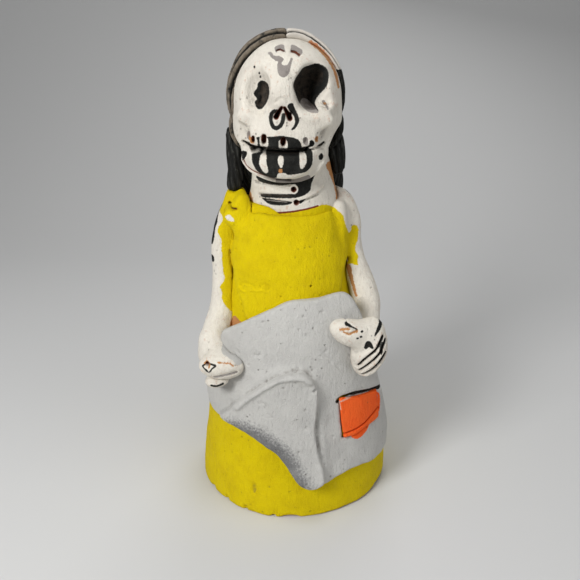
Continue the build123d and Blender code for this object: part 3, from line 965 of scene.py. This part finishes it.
TEETH = (
    [
        (-8.1, -15.6), (-6.3, -15.6), (-6.5, -18.1), (-5.9, -20.0), (-5.9, -21.2), (-7.0, -21.5),
        (-8.0, -20.2), (-8.8, -18.7), (-8.6, -17.1),
    ],
    [
        (-2.3, -15.9), (-1.1, -16.1), (-1.0, -17.6), (-1.5, -19.6), (-2.2, -19.4), (-2.9, -17.6),
        (-2.8, -16.5),
    ],
    [(3.9, -15.0), (5.9, -15.3), (6.3, -17.6), (5.4, -19.4), (4.7, -20.3), (3.9, -19.3), (3.9, -16.8)],
)
JAW_RIM = [
    (-14.8, -19.2), (-12.8, -21.6), (-10.0, -22.9), (-6.8, -24.2), (-3.0, -25.6), (0.9, -25.8),
    (4.2, -25.2), (7.3, -23.8), (9.9, -22.0), (11.9, -19.4),
]
JAW_GROOVE = [(-14.2, -19.0), (-13.1, -20.9), (-11.0, -21.9), (-8.1, -22.9), (-3.6, -24.1), (1.0, -24.4)]
FACE_LUMPS = (
    (-11.4, -4.8, (4.4, 2.2, 3.0)), (10.4, -5.6, (4.2, 2.0, 2.6)), (-1.4, -10.4, (9.6, 2.0, 3.6)),
    (-1.6, -19.4, (8.6, 1.6, 3.6)),
)
FACE_HOLLOWS = ((-14.2, -10.6), (12.8, -11.4))
FACE_PITS = (
    (5.8, -11.5, 0.9), (9.2, -11.2, 0.6), (7.9, -12.6, 0.7), (10.9, -17.2, 0.7), (-13.2, -16.8, 0.9),
)
BROW_DABS = ((-10.0, 9.9), (-8.5, 8.1), (-8.2, 7.0))
JAW_TRIMS = (((22.0, -6.0, -17.0), (8.4, 14.0, 9.5)), ((-23.0, -6.0, -19.0), (8.0, 14.0, 8.0)))
FACE_SEAM = [(7.6, 16.6), (10.4, 14.6), (12.2, 12.7), (13.8, 10.6), (14.9, 8.6), (15.7, 6.4), (16.3, 3.6)]


def head_spot(x, z):
    """An X-Z point counted from the head's centre, turned into a real one."""
    return HEAD[0] + x, HEAD[2] + z


def head_line(clay, path, width, depth):
    """A groove, or a ridge, along points counted from the head's centre, on the face only."""
    clay.line([head_spot(*point) for point in path], width, depth, back=HEAD[1])


def head_view(p):
    """X and Z of mesh points, counted from the head's centre."""
    return p[:, 0] - HEAD[0], p[:, 2] - HEAD[2]


def scoop(clay, outline, mouth, depth, slope, soft=0.5):
    """A bowl with a crisp outline, cut from Y = mouth to a depth that is reached a slope's width in."""
    edge = curve([head_spot(*point) for point in outline], rounds=1)
    middle = np.mean(edge, axis=0)

    def bowl(x, y, z):
        rim = polygon(x + 0 * z, z + 0 * x, edge)
        inward = np.clip(-rim / slope, 0, 1)
        floor = mouth + depth * np.sqrt(1 - (1 - inward) ** 2)
        return np.maximum(rim, 0.8 * (y - floor))

    clay.cut(bowl, (middle[0], mouth, middle[1]), (11, depth + 6, 11), soft)


def stick_hole(clay, top, bottom, radius, end_radius, depth):
    """The slanting hole that a pointed stick leaves."""
    (ax, az), (bx, bz) = head_spot(*top), head_spot(*bottom)
    ay, by = clay.front(ax, az), clay.front(bx, bz)
    for step in np.linspace(0, depth, 6):
        shrink = 1 - 0.5 * step / depth
        stick = (ax, ay + step, az), (bx, by + step, bz), radius * shrink, end_radius * shrink
        middle = ((ax + bx) / 2, ay + step, (az + bz) / 2)
        clay.cut(lambda x, y, z: rod(x, y, z, *stick), middle, 5, 0.15)


def sculpt_brow_and_eyes(clay):
    """Bridge, hollows of the eyes and the slits in the brow."""
    clay.lump(*head_spot(-1.3, 3.0), (2.6, 1.8, 6.0), soft=2.5, sink=0.7)
    clay.press(*head_spot(-9.8, 3.0), (5.0, 4.2, 8.4), soft=2.0, sink=-0.9)
    scoop(clay, RIGHT_EYE, HEAD[1] - 13.0, 3.8, 2.4)
    scoop(clay, LEFT_EYE, HEAD[1] - 14.5, 9.5, 4.6)
    clay.press(*head_spot(11.9, 0.4), (2.8, 1.7, 3.0), soft=1.0, sink=-0.3)
    head_line(clay, [(4.4, -4.4), (8.0, -5.2), (12.0, -4.4), (15.0, -1.6)], 1.5, -0.7)
    head_line(clay, [(10.6, -0.6), (11.8, -1.6), (13.0, -1.4)], 0.5, 0.5)
    head_line(clay, RIGHT_EYE_RIDGE, 0.8, -0.55)
    for slit, width in zip(BROW_SLITS, (0.25, 0.4)):
        head_line(clay, slit, width, 0.9)
    head_line(clay, [(-3.6, 0.2), (-2.4, 1.0), (-1.5, 1.5), (-0.3, 1.1), (0.6, 0.2)], 0.45, 0.35)


def sculpt_mouth(clay):
    """Cheeks, lips, nose and mouth holes, the slit and the jaw's rim."""
    for x, z, radii in FACE_LUMPS:
        clay.lump(*head_spot(x, z), radii, soft=2.6, sink=0.7)
    for place, radii in JAW_TRIMS:
        centre = HEAD + place
        clay.cut(lambda x, y, z: egg(x, y, z, centre, radii), centre, 20, 2.0)
    for hollow in FACE_HOLLOWS:
        clay.press(*head_spot(*hollow), (2.6, 1.8, 3.4), soft=2.2, sink=-0.9)
    for top, bottom in NOSE_HOLES:
        stick_hole(clay, top, bottom, 0.50, 0.85, 4.0)
    for x, z, half_width, half_height in LIP_HOLES:
        reach = half_height - half_width
        stick_hole(clay, (x + 0.1, z + reach), (x, z - reach), half_width, half_width, 3.0)
        head_line(clay, [(x, z - 1.3), (x + 0.1, z - 2.6)], 0.7, 0.35)
    head_line(clay, MOUTH, 0.85, 2.7)
    for corner in MOUTH_CORNERS:
        head_line(clay, corner, 0.45, 0.9)
    head_line(clay, [(7.4, -14.6), (9.6, -14.0), (11.8, -13.0)], 0.45, 0.5)
    head_line(clay, JAW_RIM, 0.8, -0.8)
    head_line(clay, JAW_GROOVE, 0.45, 0.75)
    for x, z, size in FACE_PITS:
        clay.press(*head_spot(x, z), (size, 0.7, size * 1.2), soft=0.3)
    for tooth in TEETH:
        head_line(clay, [tooth[0], tooth[len(tooth) // 2]], 0.9, -0.25)


def make_head():
    """Skull and jaw."""
    clay = Clay("skull", "lower_jaw", cell=0.29)
    clay.smooth(0.8)
    clay.uneven(0.25, 9.0, 41).uneven(0.07, 2.5, 42)
    sculpt_brow_and_eyes(clay)
    sculpt_mouth(clay)
    clay.uneven(0.035, 0.9, 43)

    def in_front(p, mark):
        return only(mark, p[:, 1] < HEAD[1] - 2)

    def black(p, n):
        u, v = head_view(p)
        tongues = [area(u, v, [(x + a, z + b) for a, b in TONGUE]) for x, z, _, _ in LIP_HOLES]
        lips = np.maximum(area(u, v, LIP_BAND, 1), -nearest(*tongues))
        jaw = np.maximum(area(u, v, JAW_BLACK, 1), -nearest(*[area(u, v, tooth) for tooth in TEETH]))
        marks = nearest(
            area(u, v, LEFT_EYE, 1),
            area(u, v, RIGHT_EYE, 1),
            *[dot(u, v, place, (0.32, 0.42)) for place in BROW_DABS],
            np.maximum(stroke(u, v, NOSE_RING, 0.62), v + 1.9),
            area(u, v, NOSE_SLASH),
            lips,
            jaw,
            stroke(u, v, MOUTH, 0.85, 0.7),
            stroke(u, v, MOUTH_CORNERS[0], 0.25, 0.7),
            stroke(u, v, MOUTH_CORNERS[1], 0.6, 0.35),
            area(u, v, [(6.8, -11.7), (7.8, -11.2), (8.7, -12.2), (8.4, -13.4), (7.1, -13.7)]),
            stroke(u, v, [(9.8, -13.7), (10.7, -13.8), (11.7, -13.0)], 0.35),
            dot(u, v, (10.8, -17.2), (0.8, 1.1)),
            area(u, v, [(-14.9, -15.8), (-12.5, -15.7), (-13.2, -17.6), (-14.0, -18.9), (-15.2, -18.5)]),
        )
        return in_front(p, marks)

    def grey(p, n):
        u, v = head_view(p)
        marks = nearest(
            area(u, v, BROW_RIGHT),
            area(u, v, BROW_LEFT),
            area(u, v, BROW_CROSS),
            stroke(u, v, [(11.4, -0.4), (12.2, -1.4), (12.7, -2.3)], 0.5, 0.3),
            stroke(u, v, [(-2.8, -24.9), (2.0, -25.0), (6.6, -23.6)], 0.9),
            dot(u, v, (5.8, -11.6), (0.8, 1.3), 10),
            dot(u, v, (-12.1, -10.9), (0.7, 1.4)),
            # painted light: the upturned floor of the left socket in lighter grey
            area(u, v, LEFT_EYE_LIT_LEDGE),
        )
        return in_front(p, marks)

    def tan(p, n):
        u, v = head_view(p)
        marks = nearest(
            area(u, v, [(-12.5, -11.6), (-11.3, -10.4), (-10.4, -11.0), (-10.2, -13.0), (-11.8, -12.7)]),
            dot(u, v, (-2.0, -20.5), (0.6, 0.8)),
            dot(u, v, (9.2, -11.3), (0.6, 1.0)),
            dot(u, v, (11.9, -0.9), (0.5, 0.4)),
        )
        seam = only(stroke(u, v, FACE_SEAM, 0.45), p[:, 1] < HEAD[1] + 3)
        return nearest(in_front(p, marks), seam)

    def hole(p, n):
        u, v = head_view(p)
        holes = [stroke(u, v, ends, 0.50, 0.85) for ends in NOSE_HOLES]
        holes += [dot(u, v, (x, z), (w, h)) for x, z, w, h in LIP_HOLES]
        holes += [stroke(u, v, slit, radius) for slit, radius in zip(BROW_SLITS, (0.16, 0.34))]
        return in_front(p, nearest(*holes, stroke(u, v, JAW_GROOVE, 0.16)))

    marks = {"black": black, "grey": grey, "tan": tan, "hole": hole}
    clay.finish({"skull": FACE, "lower_jaw": FACE}, marks)


# ---------------------------------------------------------------------------------------------
# Neck

NECK_BLACK = [
    (-13.4, 121.0), (-13.3, 119.4), (-12.8, 116.2), (-10.0, 115.5), (-4.0, 115.7), (-1.7, 116.2),
    (0.6, 116.4), (0.9, 113.4), (-1.7, 113.1), (-10.0, 112.4), (-11.8, 111.6), (-11.1, 111.1),
    (-6.7, 111.6), (-0.4, 111.8), (1.6, 112.2), (3.6, 112.9), (4.9, 113.9), (5.2, 114.8), (5.4, 116.7),
    (8.0, 121.5), (-2.0, 124.0),
]
NECK_BAR = [
    (-13.2, 115.2), (-10.0, 115.2), (-1.6, 115.9), (-0.9, 114.6), (-1.7, 113.5), (-10.0, 112.8),
    (-13.0, 112.6),
]
NECK_LEAF = [
    (-11.4, 110.8), (-9.7, 111.2), (-5.0, 111.0), (-1.4, 110.7), (-0.7, 110.4), (-1.4, 109.8),
    (-4.0, 109.2), (-7.3, 109.0), (-9.7, 109.5),
]
NECK_LINES = (                    # path, width and depth, where a negative depth is a ridge
    ([(-13.2, 115.4), (-6.0, 116.0), (-1.6, 116.4)], 0.55, 0.8),
    ([(-11.8, 111.8), (-6.0, 112.4), (-1.0, 112.4)], 0.45, 0.8),
    ([(-11.2, 110.4), (-6.0, 109.4), (-1.0, 110.3)], 0.6, 0.6),
    ([(-11.2, 111.2), (-6.0, 111.5), (-1.4, 111.1)], 0.35, -0.35),
    ([(1.6, 111.3), (4.2, 112.2), (6.9, 113.2), (9.6, 114.8)], 0.45, -0.6),
    ([(1.3, 110.6), (4.2, 111.3), (7.4, 112.4)], 0.4, 0.6),
)
NECK_HOLES = ((-0.5, 114.6), (0.4, 110.4))
COLLAR = [
    (-16.0, 107.6), (-14.6, 106.9), (-12.7, 106.3), (-8.3, 106.4), (-3.4, 107.1), (3.2, 108.1),
    (7.6, 108.8), (9.3, 109.1), (12.9, 107.5), (16.0, 105.0),
]


def make_neck():
    """The throat, with cut lines and two pierced holes."""
    clay = Clay("neck", cell=0.30)
    clay.smooth(0.5)
    clay.uneven(0.25, 7.0, 61).uneven(0.05, 1.5, 62)
    for path, width, depth in NECK_LINES:
        clay.line(path, width, depth, back=0.0)
    for x, z in NECK_HOLES:
        clay.press(x, z, (0.9, 3.0, 0.9), soft=0.15)

    def black(p, n):
        u, v = front_view(p)
        block = np.maximum(area(u, v, NECK_BLACK, 1), -area(u, v, NECK_BAR, 1))
        halo = dot(u, v, NECK_HOLES[0], (1.5, 1.45))
        tail = area(u, v, [(1.0, 111.2), (3.9, 111.6), (2.6, 110.5), (1.4, 109.7)])
        return only(nearest(np.maximum(block, -halo), area(u, v, NECK_LEAF), tail), p[:, 1] < 0)

    # Painted highlight: a thin grey line across the black leaf.
    def grey(p, n):
        u, v = front_view(p)
        return only(stroke(u, v, [(-9.4, 110.4), (-5.0, 110.6), (-2.6, 110.4)], 0.16), p[:, 1] < 0)

    def hole(p, n):
        u, v = front_view(p)
        collar = stroke(u, v, COLLAR[1:7], 0.30)
        return only(nearest(collar, *[dot(u, v, place, (0.95, 0.95)) for place in NECK_HOLES]), p[:, 1] < 0)

    def tan(p, n):
        u, v = front_view(p)
        seam = stroke(u, v, [(11.2, 121.0), (13.4, 116.0), (14.6, 112.4), (15.1, 108.0)], 0.9)
        corner = stroke(u, v, [(-15.6, 110.6), (-14.4, 107.6), (-12.0, 106.3)], 0.7, 0.4)
        return only(nearest(seam, corner), p[:, 1] < 2)

    def yellow(p, n):
        return only(area(*front_view(p), COLLAR + [(17.0, 98.0), (-17.0, 98.0)], 1), p[:, 1] < 0)

    marks = {"black": black, "grey": grey, "hole": hole, "tan": tan, "yellow": yellow, "cloth": nowhere}
    clay.finish({"neck": LIMB}, marks)


# ---------------------------------------------------------------------------------------------
# Hair

COMB_TURN = 8.0                   # how far behind the head's centre the strands start to fan out
COMB_RADIUS = 19.0                # how far a quarter turn of the fan spreads them
COMB_LEAN = 0.12                  # how much the hairline leans back with height
LOCK_LEAN = 0.15                  # how much the strands of the locks slant


def comb_head(clay, spacing, depth, seed, wander):
    """Combs grooves that follow the hairline over the top and fan out down the back."""
    outward = np.hypot(clay.x - HEAD[0], np.maximum(clay.z - HEAD[2], 0)) + 0 * clay.y
    from_edge = clay.y - HEAD[1] - COMB_LEAN * (clay.z - HEAD[2]) + 0 * clay.x
    angle = np.abs(np.arctan2(clay.x - HEAD[0], np.maximum(from_edge - COMB_TURN, 1e-3)))
    fan = COMB_TURN + COMB_RADIUS * (pi / 2 - angle)
    across = outward + np.where(from_edge < COMB_TURN, from_edge, fan)
    return comb(clay, across, spacing, depth, seed, wander)


def comb(clay, across, spacing, depth, seed, wander):
    """Combs grooves across a distance that grows from strand to strand, and gives the grooves' mark."""
    waver = grid_noise(clay.field.shape, np.array([7.0, 7.0, 12.0]) / clay.cell, seed)
    strength = grid_noise(clay.field.shape, np.array([4.0, 4.0, 9.0]) / clay.cell, seed + 1)
    teeth = np.abs(np.sin(pi * across / spacing + wander * waver)) ** 0.7
    clay.field += depth * (0.75 + 0.35 * strength) * (0.62 - teeth)
    return lambda p, n: clay.sample(0.62 - teeth, p)


def make_hair():
    """Combed sheets either side of the parting, the fall behind and the two loose locks."""
    def edge_band(p, width):
        return p[:, 1] - HEAD[1] - COMB_LEAN * (p[:, 2] - HEAD[2]) - width

    def brown(p, n):
        return edge_band(p, 5.0)

    def pale(p, n):
        u, v = head_view(p)
        return np.maximum(edge_band(p, 3.0), 2.2 * (9.0 - v) * (u > 0) - 1.0)

    def rust(p, n):
        u, v = head_view(p)
        return only(stroke(u, v, FACE_SEAM, 0.75), p[:, 1] < HEAD[1] + 5)

    for node, seed, marks in (
        ("hair_right", 71, {"brown": brown, "pale": nowhere, "rust": nowhere}),
        ("hair_left", 75, {"brown": nowhere, "pale": pale, "rust": rust}),
    ):
        clay = Clay(node, cell=0.32)
        clay.smooth(0.45)
        clay.uneven(0.3, 8.0, seed)
        strand = comb_head(clay, spacing=2.1, depth=1.3, seed=seed + 1, wander=1.5)
        clay.uneven(0.08, 0.9, seed + 3)
        clay.finish({node: HAIR}, {**marks, "strand": strand})
    plain = {"brown": nowhere, "pale": nowhere, "rust": nowhere}
    back = Clay("hair_back", cell=0.42)
    back.smooth(0.9)
    back.uneven(0.5, 8.0, 81)
    strand = comb_head(back, spacing=2.3, depth=0.95, seed=82, wander=2.0)
    back.finish({"hair_back": HAIR}, {**plain, "strand": strand})
    for node, seed in (("lock_right", 85), ("lock_left", 88)):
        lock = Clay(node, cell=0.28)
        lock.smooth(0.5)
        lock.uneven(0.25, 4.0, seed)
        across = lock.x + 0 * lock.y + LOCK_LEAN * lock.z
        strand = comb(lock, across, spacing=1.9, depth=0.6, seed=seed + 1, wander=1.2)
        lock.finish({node: HAIR}, {**plain, "strand": strand})


# ---------------------------------------------------------------------------------------------
# Cloth and patch

FOLD_TOP = [
    (-20.1, 42.0), (-15.3, 47.2), (-10.9, 51.0), (-6.0, 54.5), (-1.8, 55.6), (3.0, 55.6), (4.8, 53.9),
]
FOLD_SIDE = [(4.8, 53.9), (6.2, 48.5), (7.4, 36.3), (8.6, 20.8), (8.8, 17.0)]
FOLD_SHADE = [
    (-24.0, 36.4), (-17.0, 37.0), (-12.0, 36.0), (-6.5, 33.0), (-1.6, 29.2), (1.6, 24.0), (4.6, 17.4),
    (5.0, 14.2), (2.0, 13.0), (-4.0, 22.0), (-9.0, 26.0), (-17.4, 30.5), (-24.0, 32.0),
]
SLIT_TOP = [(14.8, 44.0), (16.6, 45.0), (20.6, 45.3), (25.0, 44.0), (30.2, 42.6)]
SLIT_BOTTOM = [(17.0, 30.0), (21.0, 30.2), (25.0, 31.2), (30.2, 34.0)]
PATCH_SMEAR = [(19.6, 29.6), (20.2, 28.6), (22.6, 27.1), (25.8, 28.6), (27.4, 31.6)]
PATCH_CORNER = [(27.6, 41.4), (31.2, 40.8), (31.2, 31.5), (30.2, 33.6), (30.0, 41.0)]
FOLD_PIT = (6.6, 51.0)
CLOTH_BACK = -10.0                # cuts in the sheet go no further back than this Y
CLOTH_PAINT_BACK = -8.0           # and its paint no further back than this
CLOTH_PITS = 46
CLOTH_SCRATCHES = (
    [(-13.6, 61.2), (-12.4, 60.8), (-11.6, 61.6)], [(-0.8, 57.6), (0.2, 57.0), (0.8, 58.2)],
    [(-19.8, 61.4), (-19.0, 60.6)], [(8.4, 61.6), (9.8, 61.2), (11.4, 60.4), (12.0, 58.8)],
    [(10.6, 63.4), (9.6, 62.6)], [(14.0, 57.4), (14.8, 56.4)],
    [(-12.0, 45.6), (-10.6, 46.2), (-9.8, 45.0), (-10.4, 43.8)],
)


def make_cloth():
    """The rolled sheet with its corner folded up, pitted all over."""
    clay = Clay("cloth_sheet", cell=0.40)
    clay.smooth(0.45)
    clay.uneven(0.44, 13.0, 131).uneven(0.18, 3.6, 132).uneven(0.08, 1.4, 133)
    clay.line([(x - 1.0, z + 1.2) for x, z in FOLD_TOP], 1.7, -0.9, back=CLOTH_BACK)
    clay.line([(x + 0.1, z - 0.1) for x, z in FOLD_TOP], 0.7, -0.75, back=CLOTH_BACK)
    clay.line([(x + 1.7, z) for x, z in FOLD_SIDE], 1.9, -1.0, back=CLOTH_BACK)
    clay.press(*FOLD_PIT, (0.8, 1.4, 0.7), soft=0.2)
    clay.line(SLIT_TOP, 0.70, 0.7, back=CLOTH_BACK)
    clay.line(SLIT_BOTTOM, 0.45, 0.9, back=CLOTH_BACK)
    for scratch in CLOTH_SCRATCHES:
        clay.line(scratch, 0.35, 0.4, back=CLOTH_BACK)
    random = np.random.default_rng(7)
    for x, z in zip(random.uniform(-24, 30, CLOTH_PITS), random.uniform(20, 78, CLOTH_PITS)):
        size = random.uniform(0.25, 0.6)
        clay.press(x, z, (size, 0.5, size * random.uniform(0.5, 1.0)), soft=0.25, sink=-0.1)

    # Painted shade with dust specks, where the fold's roll curves under at its lower left.
    def dark(p, n):
        u, v = front_view(p)
        return only(area(u, v, FOLD_SHADE), p[:, 1] < CLOTH_PAINT_BACK)

    # Painted shadow: black in the gap above the patch, where the sheet's edge shades it; a thin black line
    # also runs in the slit below.
    def black(p, n):
        u, v = front_view(p)
        slits = nearest(stroke(u, v, SLIT_TOP, 0.85), stroke(u, v, SLIT_BOTTOM, 0.25))
        return only(slits, p[:, 1] < CLOTH_PAINT_BACK)

    def orange(p, n):
        u, v = front_view(p)
        spills = nearest(area(u, v, PATCH_SMEAR), area(u, v, PATCH_CORNER))
        return only(spills, p[:, 1] < CLOTH_PAINT_BACK)

    clay.finish({"cloth_sheet": CLOTH}, {"dark": dark, "black": black, "orange": orange})


def make_patch():
    """The orange square let into the sheet."""
    clay = Clay("cloth_patch", cell=0.24)
    clay.smooth(0.3)
    clay.uneven(0.15, 3.5, 141).uneven(0.05, 1.2, 142)
    clay.line([(x, z + 1.4) for x, z in SLIT_BOTTOM], 0.30, 1.1)

    # Painted highlight: pale strokes along the patch's top edge, under the slit, and a short one down its
    # top-left corner.
    def pale(p, n):
        u, v = front_view(p)
        return nearest(
            stroke(u, v, [(15.0, 43.9), (17.4, 44.4), (20.0, 44.4)], 0.28),
            stroke(u, v, [(15.2, 43.4), (15.7, 41.0)], 0.35),
        )

    clay.finish({"cloth_patch": PATCH}, {"pale": pale})


# ---------------------------------------------------------------------------------------------
# Floor, light and camera, also counted from the foot ring

CAMERA_PLACE = (-1.7, -240.0, 168.0)
CAMERA_PITCH = 21.5
LENS = 43.45
FILM_WIDTH = 36.0
LIGHT_TARGET = (0, 0, 80)
LIGHTS = {                        # place, size and power in watts
    "key": ((-290, -370, 360), 180, 2.45),
    "top": ((0, -100, 620), 260, 0.9),
    "fill": ((430, -300, 240), 420, 0.75),
    "rim": ((120, 420, 420), 300, 0.7),
}
ROOM_COLOUR = (0.9, 0.92, 0.95, 1)
ROOM_STRENGTH = 0.12
FLOOR_COLOUR = (0.60, 0.60, 0.595, 1)
FLOOR_DEPTH = 260.0
FLOOR_BEND = 420.0
FLOOR_HALF_WIDTH = 1100.0
FLOOR_ROUGHNESS = 0.85


def in_scene(place):
    """A place in millimetres from the foot ring, as Blender wants it."""
    return Vector([(p + o) / METRE for p, o in zip(place, ORIGIN)])


def make_stage():
    """A pale sweep that rises softly behind the figure."""
    turns = np.linspace(0, pi / 2, 17)
    bend = [(FLOOR_DEPTH + FLOOR_BEND * sin(a), FLOOR_BEND * (1 - cos(a))) for a in turns]
    profile = [(-FLOOR_HALF_WIDTH, 0)] + bend + [(FLOOR_DEPTH + FLOOR_BEND, FLOOR_HALF_WIDTH)]
    points, faces = [], []
    for y, z in profile:
        points += [in_scene((-FLOOR_HALF_WIDTH, y, z)), in_scene((FLOOR_HALF_WIDTH, y, z))]
    for i in range(len(profile) - 1):
        faces.append((2 * i, 2 * i + 1, 2 * i + 3, 2 * i + 2))
    mesh = bpy.data.meshes.new("floor")
    mesh.from_pydata(points, [], faces)
    mesh.shade_smooth()
    floor = bpy.data.objects.new("floor", mesh)
    bpy.context.scene.collection.objects.link(floor)
    material = bpy.data.materials.new("floor_paper")
    material.use_nodes = True
    shader = material.node_tree.nodes["Principled BSDF"]
    shader.inputs["Base Color"].default_value = FLOOR_COLOUR
    shader.inputs["Roughness"].default_value = FLOOR_ROUGHNESS
    mesh.materials.append(material)
    floor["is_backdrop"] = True


def area_light(name, place, size, power):
    """A square soft light aimed at the figure."""
    data = bpy.data.lights.new(name, "AREA")
    data.size = size / METRE
    data.energy = power
    light = bpy.data.objects.new(name, data)
    light.location = in_scene(place)
    aim = in_scene(LIGHT_TARGET) - in_scene(place)
    light.rotation_euler = aim.to_track_quat("-Z", "Y").to_euler()
    bpy.context.scene.collection.objects.link(light)


def make_light():
    """Four soft lights, a dim room and plain colours."""
    for name, (place, size, power) in LIGHTS.items():
        area_light(name, place, size, power)
    world = bpy.data.worlds.new("soft_room")
    world.use_nodes = True
    room = world.node_tree.nodes["Background"]
    room.inputs["Color"].default_value = ROOM_COLOUR
    room.inputs["Strength"].default_value = ROOM_STRENGTH
    bpy.context.scene.world = world
    bpy.context.scene.view_settings.view_transform = "Standard"


def make_camera():
    """A camera in front of the figure and above it, tipped down."""
    data = bpy.data.cameras.new("camera")
    data.lens = LENS
    data.sensor_width = FILM_WIDTH
    data.clip_start = 0.01
    camera = bpy.data.objects.new("camera", data)
    camera.location = in_scene(CAMERA_PLACE)
    camera.rotation_euler = (radians(90 - CAMERA_PITCH), 0, 0)
    bpy.context.scene.collection.objects.link(camera)
    bpy.context.scene.camera = camera


make_body()
make_upper_body()
make_right_thumb()
make_head()
make_neck()
make_hair()
make_cloth()
make_patch()
make_stage()
make_light()
make_camera()

boxes = {"cad": cad_bounds, "visual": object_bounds()}
{name: [list(corner) for corner in box] for name, box in boxes.items()}
